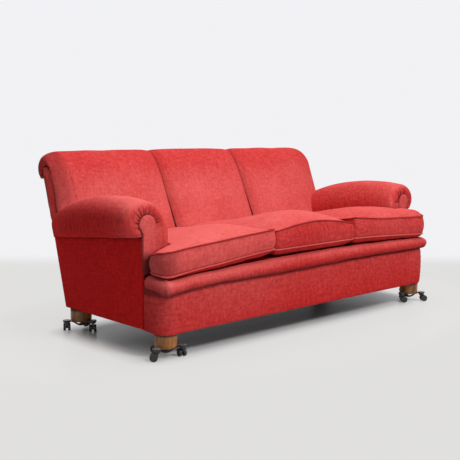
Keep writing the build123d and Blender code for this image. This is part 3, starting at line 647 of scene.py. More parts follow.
def makeArms(spec, facing):
    full = armRing(spec, spec["round"] - spec["front"])
    met = facingLine(facing, full)
    column = np.arange(len(full))
    inner = column < insideEnd
    square = inner * ease((0.56 - full[:, 1]) / 0.05)  # flat front beside the cushion
    depth = spec["round"] * (1 - 0.68 * square)
    ends = roundedEnd(full, met, base["armFront"] - spec["front"], depth, spec["lean"], 24)
    rings = [np.c_[line[:, 0], y, line[:, 1]] for line, y in ends]
    for place in np.r_[np.arange(0.040, 0.12, 0.004), np.arange(0.12, spec["length"], 0.010), spec["length"]]:
        line = armRing(spec, place)
        y = base["armFront"] + place * (rearY(line[:, 1]) - base["armFront"]) / spec["length"]
        rings.append(np.c_[line[:, 0], y, line[:, 1]])
    rings = np.array(rings)
    ways, reach = outward(rings), runDown(rings)
    x, z, place = rings[..., 0], rings[..., 2], rings[..., 1] - base["armFront"]
    angle = np.arctan2(full[:, 1] - facing["z"], full[:, 0] - facing["x"])
    onRoll = (column > 30) & (column < 330)
    outside = ease((x - 0.87) / 0.05) * ease((place - 0.06) / 0.1)
    up = unit(ways[..., 2])
    # partly wear, partly painted light: faces turned up are painted lighter, and so are the inner side, the
    # flat front beside the cushion and the cloth between the gathers near the facing's head
    wearAndLight = 0.04 + 0.80 * up**1.8 + 0.16 * (1 - ease(place / 0.2)) + 0.26 * ease((0.80 - x) / 0.05)
    wearAndLight = wearAndLight + 0.34 * np.exp(-reach / 0.035) * onRoll
    wearAndLight = wearAndLight + 0.22 * inner * ease((0.54 - z) / 0.03) * (1 - ease(place / 0.05))
    # painted shade under the roll at its lower seam, at the seam with the facing, on the lower outer side and
    # in the gathers
    seam = 0.8 * ease((column - 316) / 8.0) * (column < 340)
    edge = np.where(inner & (full[:, 1] < facing["z"]), 0.2, 0.85) * np.exp(-reach / 0.0028)
    shade = 0.20 * ease((x - 0.88) / 0.05) * (1 - up) * ease((reach - 0.06) / 0.05)
    for name, side, label in sides:
        folds = gathersAt(angle, reach, spec, 50 + side) * onRoll
        wave = place * 2 * pi / spec["ripplePitch"] + 2.2 * waviness(rings, 0.12, 7 + side)
        soft = waviness(rings, 0.11, 60 + side) * spec["soft"] * onRoll * ease(reach / 0.02)
        lift = np.sin(wave) * spec["ripple"] * outside + soft - folds * spec["gatherDepth"]
        shaped = mirrored(rings + ways * lift[..., None], side)
        paintedShade = np.clip(folds * 0.4 + edge + seam + shade, 0, 0.92)
        upholster(skin("armPad" + label, shaped, unit(wearAndLight), paintedShade), "arm_pad_" + name)


def strip(low, high, rise, front, back, lift, axis, dark=(0.75, 0.75), flush=0.0):
    # padded strip between two edge lines, with rounded sides: rows run up it
    share = (1 - np.cos(np.linspace(0, pi, 17))) / 2
    full = np.sqrt(unit(1 - np.abs(2 * share - 1) ** 4))
    full = np.where(share < 0.5, flush + (1 - flush) * full, full)
    edge = low[:, None] + (high - low)[:, None] * share
    face = front + lift[:, None] * full
    flat = np.concatenate([edge, edge[:, ::-1]], axis=1)
    deep = np.concatenate([face, np.full_like(face, back)], axis=1)
    tall = np.repeat(rise[:, None], 2 * len(share), 1)
    near = np.minimum(share, 1 - share) * (high - low)[:, None]
    # painted shade along both rounded edges of the strip
    paintedShade = unit(1 - near / 0.0035) * np.where(share < 0.5, *dark)
    order = (flat, deep, tall) if axis == "y" else (deep, flat, tall)
    return np.stack(order, axis=2), np.concatenate([paintedShade, paintedShade], axis=1)


def onBothSides(where, rings, wearAndLight, paintedShade):  # facings of the arms or of the back
    for name, side, label in sides:
        piece = skin(where + "Facing" + label, mirrored(rings, side), wearAndLight, paintedShade)
        upholster(piece, where + "_facing_" + name)


def makeArmFacings(spec):
    head = np.radians(np.linspace(0, 88, 22))[1:]
    rise = np.r_[np.linspace(spec["low"], spec["z"], 34), spec["z"] + spec["radius"] * np.sin(head)]
    bow = np.sqrt(unit(spec["radius"] ** 2 - unit(rise - spec["z"]) ** 2))
    neck = spec["outer"] + (spec["x"] + spec["radius"] - spec["outer"]) * ease((rise - spec["neck"]) / 0.04)
    low = np.where(rise > spec["z"], spec["x"] - bow, spec["inner"])
    high = np.where(rise > spec["z"], spec["x"] + bow, neck)
    top = np.sqrt(unit(rounded(spec["z"] + spec["radius"] - rise, 0.012)))
    lift = -spec["proud"] * (0.2 + 0.8 * top)
    front = base["armFront"]
    rings, paintedShade = strip(low, high, rise, front, front + 0.004, lift, "y", (0.08, 0.75), 0.55)
    paintedShade = np.maximum(paintedShade, 0.92 * ease((0.435 - rise) / 0.05)[:, None])  # painted shade in the deep recess behind the cushion
    onBothSides("arm", rings, 0.76, paintedShade)


makeArms(arm, armFacing)
makeArmFacings(armFacing)
print("arms and facings made")


# inside back: three sections over the roll, sewn in channels between them
back = {"line": [(0.4975, 0.340), (0.5216, 0.415), (0.565, 0.5265), (0.606, 0.615), (0.654, 0.705),
                 (0.706, 0.767), (0.784, 0.809), (0.832, 0.7905), (0.852, 0.745), (0.839, 0.704),
                 (0.802, 0.680)],
        "count": 170, "channel": 0.27098, "end": 0.866, "fuller": 0.013, "round": 0.074, "crest": 0.0045,
        "drift": 0.005, "lean": -38.0, "gathers": 9, "gatherDepth": 0.0055, "gatherLength": (0.018, 0.036),
        "head": (-30, 190), "low": 0.340, "rear": 0.69, "soft": 0.0016, "step": 0.0095,
        "near": [0, 0.001, 0.0022, 0.004, 0.0065, 0.010, 0.0145, 0.020, 0.027, 0.035],
        "depth": [(0.0, 0.024), (0.2, 0.033), (0.4, 0.033), (0.52, 0.028), (0.63, 0.019), (0.74, 0.008),
                  (1.0, 0.006)],
        "endDepth": [(0.0, 0.020), (0.2, 0.033), (0.36, 0.034), (0.48, 0.027), (0.60, 0.015), (0.70, 0.005),
                     (1.0, 0.002)]}
backFacing = {"low": 0.478, "head": 0.700, "half": 0.038, "foot": 0.031, "bulge": 0.004, "rear": 0.021,
              "proud": 0.009, "gap": 0.001}


def facingHalf(facing, z):  # half the width of the back facing
    return facing["foot"] + (facing["half"] - facing["foot"]) * ease((z - 0.50) / 0.19)


def facingMiddle(facing, z):  # middle line of the back facing, as y
    bent = facing["bulge"] * ease((z - 0.61) / 0.09) + facing["rear"] * ease((z - 0.45) / 0.06)
    return rearY(z) - facingHalf(facing, z) - facing["gap"] + bent


def backSlice(spec):  # slice of the back as y and z, and how far the channels and the ends draw it in
    line = lineThrough(spec["line"], spec["count"])
    tangent = np.gradient(line, axis=0)
    normal = np.c_[-tangent[:, 1], tangent[:, 0]] / np.linalg.norm(tangent, axis=1)[:, None]
    low, high = spec["low"], spec["rear"]
    plane, foot = rearY(high) - base["armFront"], rearY(low) - base["armFront"]
    close = lineThrough([(plane, high), (plane - 0.034, high)], 4)
    down = lineThrough([(plane - 0.036, high - 0.005), (foot - 0.034, low)], 14)
    bottom = lineThrough([(foot - 0.040, low), (0.505, low)], 8)
    shape = np.concatenate([line, close, down, bottom])
    drawn = []
    for table in (spec["depth"], spec["endDepth"]):
        depth = np.zeros_like(shape)
        depth[:spec["count"]] = normal * along(table, np.linspace(0, 1, spec["count"]))[:, None]
        drawn.append(depth)
    return shape, *drawn


def channelDepth(gap):  # share of the channel's depth at this distance from its seam
    return 0.47 * unit(1 - gap / 0.17) ** 2.2 + 0.65 * unit(1 - gap / 0.050) ** 2


def finishBack(label, node, rings, folds, reach, seed, side, spec):
    seamGap = np.abs(np.abs(rings[..., 0]) - spec["channel"])
    soft = waviness(rings, 0.17, seed) * spec["soft"] * ease(reach / 0.03) * ease(seamGap / 0.03)
    visible = np.arange(rings.shape[1]) < spec["count"]
    lift = (soft - folds * spec["gatherDepth"]) * visible
    shaped = mirrored(rings + outward(rings) * lift[..., None], side)
    x, z = shaped[..., 0], rings[..., 2]
    wearAndLight = 0.34 + 0.46 * ease((0.78 - z) / 0.18) - 0.10 * ease((0.45 - z) / 0.1)
    # painted shade along the channel seams, in the gathers and at the seam with the back facing
    paintedShade = unit(1 - seamGap / 0.003) * 0.6 + folds * 0.75 + 0.93 * bell(reach / 0.0075)
    if label == "Left":  # the end and the sides of the channels that are turned from the light
        paintedShade = paintedShade + 0.46 * ease((-x - 0.775) / 0.06) * ease((z - 0.5) / 0.1)
    else:
        seam = spec["channel"] if label == "Right" else -spec["channel"]
        paintedShade = paintedShade + 0.30 * np.exp(-unit(x - seam) / 0.018) * ease((z - 0.42) / 0.1)
    shaped[..., 2] += spec["crest"] * ease((x + 0.6) / 0.3) * ease((z - 0.70) / 0.08)
    shaped[..., 0] += spec["drift"] * (1 - unit(np.abs(x) / 0.86) ** 2)
    upholster(skin("backPanel" + label, shaped, unit(wearAndLight), np.clip(paintedShade, 0, 0.93)), node)


def makeBack(spec, facing):
    shape, push, fall = backSlice(spec)
    start, end = spec["channel"], spec["end"]

    def ringsAt(places, gaps):
        rings = []
        for x, gap in zip(places, gaps):
            section = shape - push * channelDepth(gap) - fall * ease((abs(x) - 0.56) / 0.29)
            rings.append(np.c_[np.full(len(section), x), section + (base["armFront"], 0)])
        return np.array(rings)

    half = np.r_[spec["near"], np.arange(0.044, start, spec["step"])]
    half = half[half < start - 0.001]
    places = np.r_[-start + half, (start - half)[::-1]]
    rings = ringsAt(places, start - np.abs(places))
    finishBack("Centre", "back_panel_centre", rings, 0.0, np.ones(rings.shape[:2]), 70, 1, spec)

    gaps = np.r_[spec["near"], np.arange(0.044, end - start - spec["round"], spec["step"])]
    full = shape - fall + (base["armFront"], 0)
    height = full[:, 1]
    head = np.array([facingMiddle(facing, facing["head"]), facing["head"]])
    way = full - head
    met = head + way / np.linalg.norm(way, axis=1)[:, None] * (facing["half"] + facing["gap"])
    low = height < facing["head"]
    middle, wide = facingMiddle(facing, height), facingHalf(facing, height) + facing["gap"]
    met[low] = np.c_[middle - wide, np.maximum(height, 0.30)][low]
    rear = (np.arange(len(full)) >= spec["count"] - 26) & low
    met[rear, 0] = (middle + wide)[rear]
    fuller = spec["fuller"] * ease((height - 0.48) / 0.08)
    caps = roundedEnd(full, met, 0.0, spec["round"], spec["lean"], 22)
    cap = [np.c_[end - axial + fuller * (1 - axial / spec["round"]), section] for section, axial in caps]
    rings = np.concatenate([cap, ringsAt(start + gaps, gaps)[::-1]])
    reach = runDown(rings)
    angle = np.arctan2(way[:, 1], way[:, 0])
    for name, side, label in sides:
        folds = gathersAt(angle, reach, spec, 80 + side) * (height > 0.66)
        finishBack(label, "back_panel_" + name, rings, folds, reach, 75 + side, side, spec)


def makeBackFacings(spec):
    head = np.radians(np.linspace(0, 86, 18))[1:]
    rise = np.r_[np.linspace(spec["low"], spec["head"], 40), spec["head"] + spec["half"] * np.sin(head)]
    bow = np.sqrt(np.clip(facingHalf(spec, rise) ** 2 - unit(rise - spec["head"]) ** 2, 1e-8, 1))
    middle = facingMiddle(spec, rise)
    top = np.sqrt(unit(rounded(rise[-1] - rise, 0.012)))
    lift = (spec["proud"] + 0.004) * (0.25 + 0.75 * top)
    front, rear = base["innerHalf"] - 0.004, base["innerHalf"] - 0.014
    rings, paintedShade = strip(middle - bow, middle + bow, rise, front, rear, lift, "x")
    onBothSides("back", rings, 0.35, paintedShade)


makeBack(back, backFacing)
makeBackFacings(backFacing)
print("back made")


# loose seat cushions: top, border and underside sewn at two piped seams, then filled
cushion = {"front": -0.48667, "backTop": 0.189, "backLow": 0.1498, "tabBack": -0.3562, "armSide": 0.7482,
           "inner": 0.2725, "end": 0.868, "step": 0.0125, "corner": 0.018, "endCorner": 0.045,
           "borderRows": 9, "crownReach": 0.19, "belly": 0.032, "bulge": 0.009, "frames": 20,
           "pressure": 2.5, "cap": 0.014, "piping": 0.0033, "lowBack": 0.368, "pitch": 0.011}
cushionSeams = {
    "centre": {"top": [(-0.27, 0.466), (-0.13, 0.486), (0.0, 0.494), (0.13, 0.485), (0.27, 0.462)],
               "low": [(-0.27, 0.385), (0.0, 0.387), (0.27, 0.389)],
               "back": [(-0.27, 0.424), (0.0, 0.430), (0.27, 0.426)],
               "dents": 5, "crown": 0.050, "reach": 0.24, "bend": 1.0, "rear": 0.9, "border": 0.27,
               "face": 0.74},
    "left": {"top": [(-0.88, 0.426), (-0.80, 0.436), (-0.597, 0.452), (-0.40, 0.467), (-0.27, 0.476)],
             "low": [(-0.88, 0.329), (-0.80, 0.341), (-0.70, 0.352), (-0.58, 0.362), (-0.50, 0.371),
                     (-0.27, 0.392)],
             "back": [(-0.88, 0.396), (-0.75, 0.397), (-0.5, 0.408), (-0.27, 0.430)],
             "dents": 7, "crown": 0.046, "reach": 0.42, "bend": 1.6, "rear": 1.0, "border": 0.68,
             "face": 0.9},
    "right": {"top": [(0.27, 0.490), (0.32, 0.486), (0.465, 0.473), (0.65, 0.465), (0.88, 0.456)],
              "low": [(0.27, 0.391), (0.468, 0.385), (0.70, 0.374), (0.88, 0.364)],
              "back": [(0.27, 0.417), (0.36, 0.420), (0.5, 0.426), (0.74, 0.418), (0.80, 0.431),
                       (0.88, 0.442)],
              "dents": 8, "crown": 0.050, "reach": 0.05, "bend": 0.6, "rear": 0.75, "border": 0.35,
              "face": 0.50}}


def roundCorner(plan, corner, inward, radius):  # bends a square corner of the plan into a round one
    apart = (plan - corner) * inward
    near = (apart < radius).all(axis=1) & (apart > -1e-9).all(axis=1)
    p, q = (radius - apart[near]).T / radius
    bent = np.c_[p * np.sqrt(1 - q * q / 2), q * np.sqrt(1 - p * p / 2)] * radius
    plan[near] = corner + inward * (radius - bent)


def fromOutline(plan, outline):  # distance of each point to the nearest side of the outline
    gap = np.full(len(plan), 9.0)
    for a, b in zip(outline, np.roll(outline, -1, axis=0)):
        t = unit(((plan - a) @ (b - a)) / ((b - a) @ (b - a)))
        gap = np.minimum(gap, np.linalg.norm(plan - a - t[:, None] * (b - a), axis=1))
    return gap


def nook(plan, spec):  # the cushion fills the corner beside the arm's rounded front
    away = np.hypot(plan[:, 0] - spec["armSide"], plan[:, 1] - spec["tabBack"])
    return 0.006 * unit(1 - away / 0.035) ** 2


def cushionBack(z):  # inside back behind the cushions leans away as it rises
    return base["armFront"] + 0.5 + 0.154 * (z - base["deckTop"]) / 0.357 - 0.0135


def gridCells(xs, ys, holds):  # cells of a grid that hold the middle of a place, and the points they use
    number, cells = {}, []
    for i in range(len(xs) - 1):
        for j in range(len(ys) - 1):
            if holds((xs[i] + xs[i + 1]) / 2, (ys[j] + ys[j + 1]) / 2):
                cell = [(i, j), (i + 1, j), (i + 1, j + 1), (i, j + 1)]
                cells.append([number.setdefault(key, len(number)) for key in cell])
    return np.array([(xs[i], ys[j]) for i, j in number], float), cells


def cushionGrid(which, spec):  # plan of the cushion as points, cells and outline
    def steps(a, b):
        return np.linspace(a, b, int(round(abs(b - a) / spec["step"])) + 1)

    def onCushion(x, y):
        return which == "centre" or x < armSide or y < tab

    front, back, tab = spec["front"], spec["backTop"], spec["tabBack"]
    inner, armSide, end = spec["inner"], spec["armSide"], spec["end"]
    if which == "centre":
        side = inner - 0.003
        xs, ys = steps(-side, side), steps(front, back)
        outline = [(-side, front), (side, front), (side, back), (-side, back)]
        turned = [(1, 1), (-1, 1), (-1, -1), (1, -1)]
    else:
        xs = np.r_[steps(inner, armSide), steps(armSide, end)[1:]]
        ys = np.r_[steps(front, tab), steps(tab, back)[1:]]
        outline = [(inner, front), (end, front), (end, tab), (armSide, tab), (armSide, back), (inner, back)]
        turned = [(1, 1), (-1, 1), (-1, -1), None, (-1, -1), (1, -1)]
    plan, cells = gridCells(xs, ys, onCushion)
    return plan, cells, np.array(outline, float), turned


def outerLoop(cells):  # points round the edge of the cells, in order
    edges = {(cell[k], cell[(k + 1) % 4]) for cell in cells for k in range(4)}
    after = {a: b for a, b in edges if (b, a) not in edges}
    loop = [min(after)]
    while after[loop[-1]] != loop[0]:
        loop.append(after[loop[-1]])
    return np.array(loop)


filling = {"quality": 6, "mass": 0.25, "use_pressure": True, "tension_stiffness": 14,
           "compression_stiffness": 6, "shear_stiffness": 5, "bending_stiffness": 0.8,
           "shrink_min": -0.012, "vertex_group_mass": "seams"}


def fillCushion(piece, pinned, spec):  # cloth under pressure, held at its seams
    group = piece.vertex_groups.new(name="seams")
    group.add([int(k) for k in pinned], 1.0, "REPLACE")
    cloth = piece.modifiers.new("Filling", "CLOTH")
    for key, value in filling.items():
        setattr(cloth.settings, key, value)
    cloth.settings.uniform_pressure_force = spec["pressure"]
    cloth.settings.effector_weights.gravity = 0
    cloth.collision_settings.use_self_collision = False
    cloth.point_cache.frame_start, cloth.point_cache.frame_end = 1, spec["frames"]
    for number in range(1, spec["frames"] + 1):
        bpy.context.scene.frame_set(number)
    shaped = piece.evaluated_get(bpy.context.evaluated_depsgraph_get()).to_mesh()
    moved = np.empty(len(shaped.vertices) * 3)
    shaped.vertices.foreach_get("co", moved)
    piece.modifiers.remove(cloth)
    bpy.context.scene.frame_set(1)
    return moved.reshape(-1, 3)


def pipe(name, points, radius, body, wearAndLight, paintedShade):  # covered cord sewn into a seam
    curve = bpy.data.curves.new(name, "CURVE")
    curve.dimensions = "3D"
    curve.bevel_depth, curve.bevel_resolution = radius, 3
    line = curve.splines.new("POLY")
    line.points.add(len(points) - 1)
    line.points.foreach_set("co", np.c_[points, np.ones(len(points))].ravel())
    line.use_cyclic_u = True
    cord = bpy.data.objects.new(name, curve)
    bpy.context.scene.collection.objects.link(cord)
    choose(cord)
    bpy.ops.object.convert(target="MESH")
    piece = bpy.context.object
    layer = piece.data.uv_layers.active or piece.data.uv_layers.new(name="weave")
    layer.name = "weave"
    places = np.array([piece.data.vertices[loop.vertex_index].co[:] for loop in piece.data.loops])
    layer.data.foreach_set("uv", np.c_[places[:, 0] + places[:, 1], places[:, 2]].astype(np.float32).ravel())
    count = len(piece.data.vertices)
    mark(piece.data, {"wearAndLight": np.full(count, wearAndLight), "paintedShade": np.full(count, paintedShade)})
    tidyNormals(piece)
    dress(piece, body, [], "red_wool")


def dentBorder(points, edge, which, side, spec, count, seed):  # small dents in the front border
    dice = np.random.default_rng(seed)
    reach = (-0.25, 0.25) if which == "centre" else (spec["inner"] + 0.03, spec["end"] - 0.02)
    for number in range(count):
        place = side * dice.uniform(*reach)
        apart = ((points[edge, 0] - place) / dice.uniform(0.008, 0.02)) ** 2
        high = ((points[edge, 2] - dice.uniform(0.40, 0.44)) / 0.04) ** 2
        points[edge, 1] += dice.uniform(0.0015, 0.004) * np.exp(-apart - high) * (points[edge, 1] < -0.45)


def pressFlat(points, which, side, spec):  # against the neighbours, the arm and the back
    x, y = points[:, 0] * side, points[:, 1]
    if which == "centre":
        x = np.clip(x, -spec["inner"] + 0.0022, spec["inner"] - 0.0022)
    else:
        x = np.maximum(x, spec["inner"] - 0.0012)
        room = nook(np.c_[x, y], spec)
        x = np.where(y > spec["tabBack"] + 0.002, np.minimum(x, spec["armSide"] + 0.0006 + room), x)
        onTab = x > spec["armSide"] + 0.002
        y = np.where(onTab, np.minimum(y, spec["tabBack"] + 0.0004 + room), y)
    points[:, 0] = x * side
    points[:, 1] = np.minimum(y, cushionBack(np.maximum(points[:, 2], base["deckTop"])) + 0.001)


def cushionTop(which, top, toBack, side, seams):  # height of the upper seam, carried on over the plan
    x, y = top.T
    height = along(seams["top"], side * x) * (1 - toBack) + along(seams["back"], side * x) * toBack
    if which == "left":  # its tab falls beside the arm
        height = height - 0.012 * ease((x - 0.76) / 0.1) * ease((y + 0.44) / 0.08)
    if which == "right":  # its tab stands up
        height = height + 0.014 * ease((x - 0.79) / 0.06) * bell((y + 0.437) / 0.034)
    return height


def cushionSwell(which, plan, spec, seams):  # 1 where the filling stands highest
    x, y = plan.T
    left, right = (-spec["inner"], spec["inner"]) if which == "centre" else (spec["inner"], spec["end"])
    swell = rounded(x - left, 0.24) * rounded(right - x, seams["reach"]) ** seams["bend"]
    swell = swell * rounded(y - spec["front"], spec["crownReach"])
    return swell * (1 - seams["rear"] * ease((y + 0.33) / 0.43)) * rounded(spec["backTop"] - y, 0.08)


def makeCushion(which, label, spec, seams, seed):
    side = -1 if which == "left" else 1
    front, backTop, tab, deck = spec["front"], spec["backTop"], spec["tabBack"], base["deckTop"]
    plan, cells, outline, turned = cushionGrid(which, spec)
    top = plan.copy()
    for corner, inward in zip(outline, turned):
        if inward:
            radius = spec["corner" if abs(corner[0]) < 0.3 else "endCorner"]
            roundCorner(top, corner, np.array(inward), radius)
    if which != "centre":
        top += nook(top, spec)[:, None]
    low = top.copy()
    shorter = tab + (low[:, 1] - tab) * (spec["backLow"] - tab) / (backTop - tab)
    low[:, 1] = np.where(low[:, 1] > tab, shorter, low[:, 1])
    gap = fromOutline(plan, outline)
    toBack = unit((plan[:, 1] - front) / (backTop - front)) ** 0.8
    seamTop = cushionTop(which, top, toBack, side, seams)
    seamLow = along(seams["low"], side * low[:, 0]) * (1 - toBack) + spec["lowBack"] * toBack
    swell = cushionSwell(which, plan, spec, seams)
    onRoll = along(frontRoll["high"], side * low[:, 0]) + 0.0025
    floorZ = np.where(plan[:, 1] < base["borderFront"] + 0.045, onRoll, deck + 0.0006)
    underside = np.maximum(seamLow - spec["belly"] * unit(gap / 0.05) ** 0.6, floorZ)
    underside = np.where(gap > 0.06, np.minimum(underside, deck + 0.002), underside)
    loop = outerLoop(cells)
    count, total, rows = len(plan), len(loop), spec["borderRows"]
    upper = np.c_[top, seamTop + seams["crown"] * swell]
    lower = np.c_[low, np.where(gap < 1e-6, seamLow, underside)]
    rim = np.roll(top[loop], -1, axis=0) - np.roll(top[loop], 1, axis=0)
    outwards = np.c_[rim[:, 1], -rim[:, 0]] / np.linalg.norm(rim, axis=1)[:, None]
    border = []
    for k in range(1, rows):
        share = k / rows
        ring = upper[loop] * (1 - share) + lower[loop] * share
        ring[:, :2] += outwards * spec["bulge"] * sin(pi * share)
        border.append(ring)
    points = np.concatenate([upper, lower, *border])
    ringIndex = [loop] + [2 * count + k * total + np.arange(total) for k in range(rows - 1)] + [count + loop]
    faces = [list(cell) for cell in cells] + [[count + k for k in cell[::-1]] for cell in cells]
    run = np.r_[0, np.cumsum(np.linalg.norm(rim, axis=1) / 2)]
    flat = np.concatenate([plan, plan])
    uv = [flat[face] for face in faces]
    for k in range(rows):
        a, b = ringIndex[k], ringIndex[k + 1]
        for n in range(total):
            m = (n + 1) % total
            faces.append([a[m], a[n], b[n], b[m]])
            cloth = [(run[n + 1], -k), (run[n], -k), (run[n], -k - 1), (run[n + 1], -k - 1)]
            uv.append(np.array(cloth) * (1, spec["pitch"]))
    pinned = np.concatenate([loop, count + loop, count + np.flatnonzero(gap > 0.055)])
    onBorder = np.full(total * (rows - 1), seams["border"])
    wearAndLight = np.concatenate([seams["face"] + 0.25 * swell, np.full(count, 0.2), onBorder])
    paintedShade = np.zeros(len(points))
    # painted shade along both piped seams
    paintedShade[loop] = paintedShade[count + loop] = 0.45
    if which == "left":  # painted shade on the left end of the border, turned from the light
        paintedShade[2 * count:] = 0.42 * ease((points[2 * count:, 0] - 0.79) / 0.06)
    points[:, 0] *= side
    marks = {"wearAndLight": wearAndLight, "paintedShade": paintedShade}
    piece = newMesh("seatCushion" + label, points, faces, np.concatenate(uv), marks)
    moved = fillCushion(piece, pinned, spec) - points
    far = np.linalg.norm(moved, axis=1)
    points = points + moved * np.minimum(1, spec["cap"] / np.maximum(far, 1e-9))[:, None]
    print(label, "cushion filled, moved up to", round(float(far.max()), 4))
    dentBorder(points, np.concatenate(ringIndex[1:-1]), which, side, spec, seams["dents"], seed)
    pressFlat(points, which, side, spec)
    points[count:2 * count, 2] = np.maximum(points[count:2 * count, 2], np.minimum(floorZ, lower[:, 2]))
    piece.data.vertices.foreach_set("co", points.astype(np.float32).ravel())
    piece.data.update()
    applied(piece, "SUBSURF", levels=1, render_levels=1)
    body = "seat_cushion_" + which
    dress(piece, body, [body], "red_wool")
    proud = np.c_[outwards * 0.0006, np.zeros(total)] * (side, 1, 1)
    # the top piping is darkened with painted shade
    for seam, start, share, worn, dark in (("Top", 0, 1, 0.25, 0.36), ("Low", count, 3, 0.85, 0.0)):
        line = points[start + loop] + proud * share
        pipe("cushion" + label + "Piping" + seam, line, spec["piping"], body, worn, dark)


for number, (which, seams) in enumerate(cushionSeams.items()):
    makeCushion(which, which.title(), cushion, seams, 91 + number)
print("cushions made")


# under the seat: dust cover, webbing behind the back, and the deck in front of the arms
dustCover = {"footX": 0.7735, "footFront": -0.3662, "footBack": 0.1593, "thick": 0.0009}
webbing = {"low": 0.360, "high": 0.670, "inset": 0.030 / cos(rake), "thick": 0.0025, "half": 0.025,
           "end": 0.751, "count": 9, "bevel": 0.0006}
deckEnd = {**seatDeck, "swell": 0.0015, "edge": 0.01, "ends": (0.747, 0.838), "gap": 0.010}


def makeDustCover(spec):
    z = base["bottom"]
    front, back = base["borderFront"] + 0.0145, rearY(z, 0.0088)
    footX, footFront, footBack = spec["footX"], spec["footFront"], spec["footBack"]
    half = base["innerHalf"] - 0.0005
    line = np.linspace
    xs = np.r_[line(-half, -footX, 6), line(-footX, footX, 70)[1:-1], line(footX, half, 6)]
    ys = np.r_[line(front, footFront, 7), line(footFront, footBack, 30)[1:-1], line(footBack, back, 6)]

    def clearOfFeet(x, y):
        return abs(x) < footX or footFront < y < footBack

    flat, faces = gridCells(xs, ys, clearOfFeet)
    points = np.c_[flat, z + 0.0012 + 0.0007 * waviness(np.c_[flat, 0 * flat[:, 0]], 0.25, 12)]
    piece = newMesh("dustCover", points, faces, np.concatenate([flat[face] for face in faces]), {})
    applied(piece, "SOLIDIFY", thickness=spec["thick"], offset=0.0)
    tidyNormals(piece)
    dress(piece, "sofa", ["dust_cover"], "dust_cloth")
    area = 2 * footX * (back - front) + 2 * (half - footX) * (footBack - footFront)
    back - front


def makeWebbing(spec):
    half, thick = spec["half"], spec["thick"]
    for number, x in enumerate(np.linspace(-spec["end"], spec["end"], spec["count"])):
        rings = []
        for z in np.linspace(spec["low"], spec["high"], 26):
            y = rearY(z, spec["inset"] + 0.0002)
            left, right = x - half, x + half
            rings.append([(left, y, z), (right, y, z), (right, y - thick, z), (left, y - thick, z)])
        piece = skin("backStrap" + str(number + 1), rings)
        applied(piece, "BEVEL", width=spec["bevel"], segments=2)
        dress(piece, "sofa", ["back_webbing"] if number == 0 else [], "jute")


def makeDeckEnds(spec):
    for name, side, label in sides:
        left, right = sorted(side * end for end in spec["ends"])
        corners = deckCorners(spec, left, right, base["armFront"] - spec["gap"])
        piece = panel("seatDeckEnd" + label, corners, (0, 0, 1), spec, 44 + side)
        dress(piece, "sofa", [], "red_wool")


makeDustCover(dustCover)
makeWebbing(webbing)
makeDeckEnds(deckEnd)
print("dust cover, webbing and deck ends made")


# studio: pale floor that melts into a white surround, a soft light in front and a wide one above
studio = {"floor": (0.72, 0.72, 0.72, 1), "surround": (0.885, 0.885, 0.91, 1),
          "farFloor": (0.75, 0.745, 0.735, 1), "worldLight": 0.25, "near": 0.52, "far": 1.05,
          "wall": 1.35, "wallFar": 2.0, "wallWay": (0.675, 0.738, 0.0), "middle": (0.0, -0.10, 0.0),
          "stand": (0.87, 0.29, 0.0), "bright": 0.13, "most": 0.86, "oval": (0.66, 1.0, 1.0)}
lights = (("keyLight", (0.1, -5.0, 4.9), (0, -0.2, 0.3), 1.4, 212.0),
          ("topLight", (0.0, -0.3, 5.0), (0, 0, 0.3), 4.5, 200.0))
view = {"place": (-2.7044, -2.8513, 0.8658), "turn": (pi / 2 - 0.1154, 0, -0.7409), "lens": 61.59,
        "sensor": 36.0}


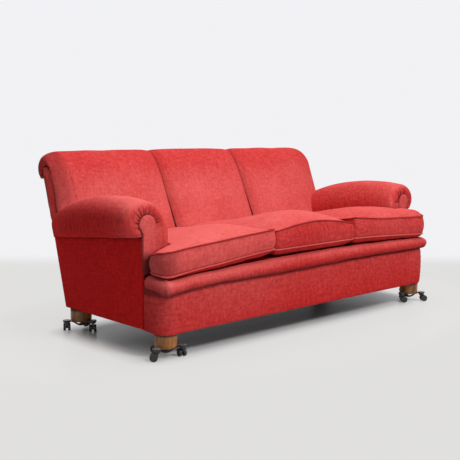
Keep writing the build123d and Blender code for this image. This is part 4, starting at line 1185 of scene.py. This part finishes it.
def makeFloor(spec):
    choose()
    bpy.ops.mesh.primitive_circle_add(vertices=96, radius=40.0, fill_type="NGON", location=(0, 0, 0))
    floor = bpy.context.object
    floor.name = "studioFloor"
    material = bpy.data.materials.new("paleFloor")
    start = emptyTree(material)
    place = objectPlace(start)
    far = place.stretched(spec["oval"]).vector("LENGTH", pick=1).eased(spec["near"], spec["far"])
    # painted light: the floor glows pale from just outside the sofa's footprint, so the cast shadow ends
    # close to it
    around = place.vector("SUBTRACT", spec["middle"]).vector("ABSOLUTE").vector("SUBTRACT", spec["stand"])
    gap = around.vector("MAXIMUM").vector("LENGTH", pick=1)
    lit = start.add("MapRange", {}, {0: gap, 1: 0.0, 2: spec["bright"], 3: 0.0, 4: spec["most"]})
    far = start.sum("MAXIMUM", far, lit)
    wall = place.vector("DOT_PRODUCT", spec["wallWay"], 1).eased(spec["wall"], spec["wallFar"])
    seen = start.add("LightPath", {}, {})
    near = start.add("BsdfPrincipled", {}, {"Base Color": spec["floor"], "Specular IOR Level": 0.35,
                                            "Roughness": 0.28 + 0.1 * place.noise(2.0, 3.0)})
    pale = wall.blend(spec["farFloor"], spec["surround"])
    melt = start.add("Emission", {}, {"Color": pale, "Strength": 1.0})
    surface = start.add("MixShader", {}, {0: far * seen, 1: near, 2: melt})
    start.add("OutputMaterial", {}, {"Surface": surface})
    floor.data.materials.append(material)


def makeWorld(spec):
    world = bpy.data.worlds.new("studio")
    bpy.context.scene.world = world
    start = emptyTree(world)
    kinds = ("Is Camera Ray", "Is Glossy Ray", "Is Transmission Ray")
    camera, glossy, passed = (start.add("LightPath", {}, {}, kind) for kind in kinds)
    seen = (camera + glossy + passed).clamped()
    light = start.add("Background", {}, {"Color": (1.0, 0.99, 0.985, 1), "Strength": spec["worldLight"]})
    pale = start.add("Background", {}, {"Color": spec["surround"], "Strength": 1.0})
    surface = start.add("MixShader", {}, {0: seen, 1: light, 2: pale})
    start.add("OutputWorld", {}, {"Surface": surface})


def softLight(name, place, aim, size, power):
    lamp = bpy.data.lights.new(name, "AREA")
    lamp.shape, lamp.size, lamp.energy = "DISK", size, power
    holder = bpy.data.objects.new(name, lamp)
    bpy.context.scene.collection.objects.link(holder)
    holder.location = place
    holder.rotation_euler = (Vector(aim) - Vector(place)).to_track_quat("-Z", "Y").to_euler()


def makeCamera(spec):
    camera = bpy.data.objects.new("camera", bpy.data.cameras.new("camera"))
    bpy.context.scene.collection.objects.link(camera)
    camera.location = spec["place"]
    camera.rotation_euler = spec["turn"]
    camera.data.lens, camera.data.sensor_width = spec["lens"], spec["sensor"]
    camera.data.clip_start, camera.data.clip_end = 0.05, 100.0
    bpy.context.scene.camera = camera


makeFloor(studio)
makeWorld(studio)
for light in lights:
    softLight(*light)
makeCamera(view)
bpy.context.scene.view_settings.view_transform = "Standard"
print("studio ready")

bpy.context.view_layer.update()
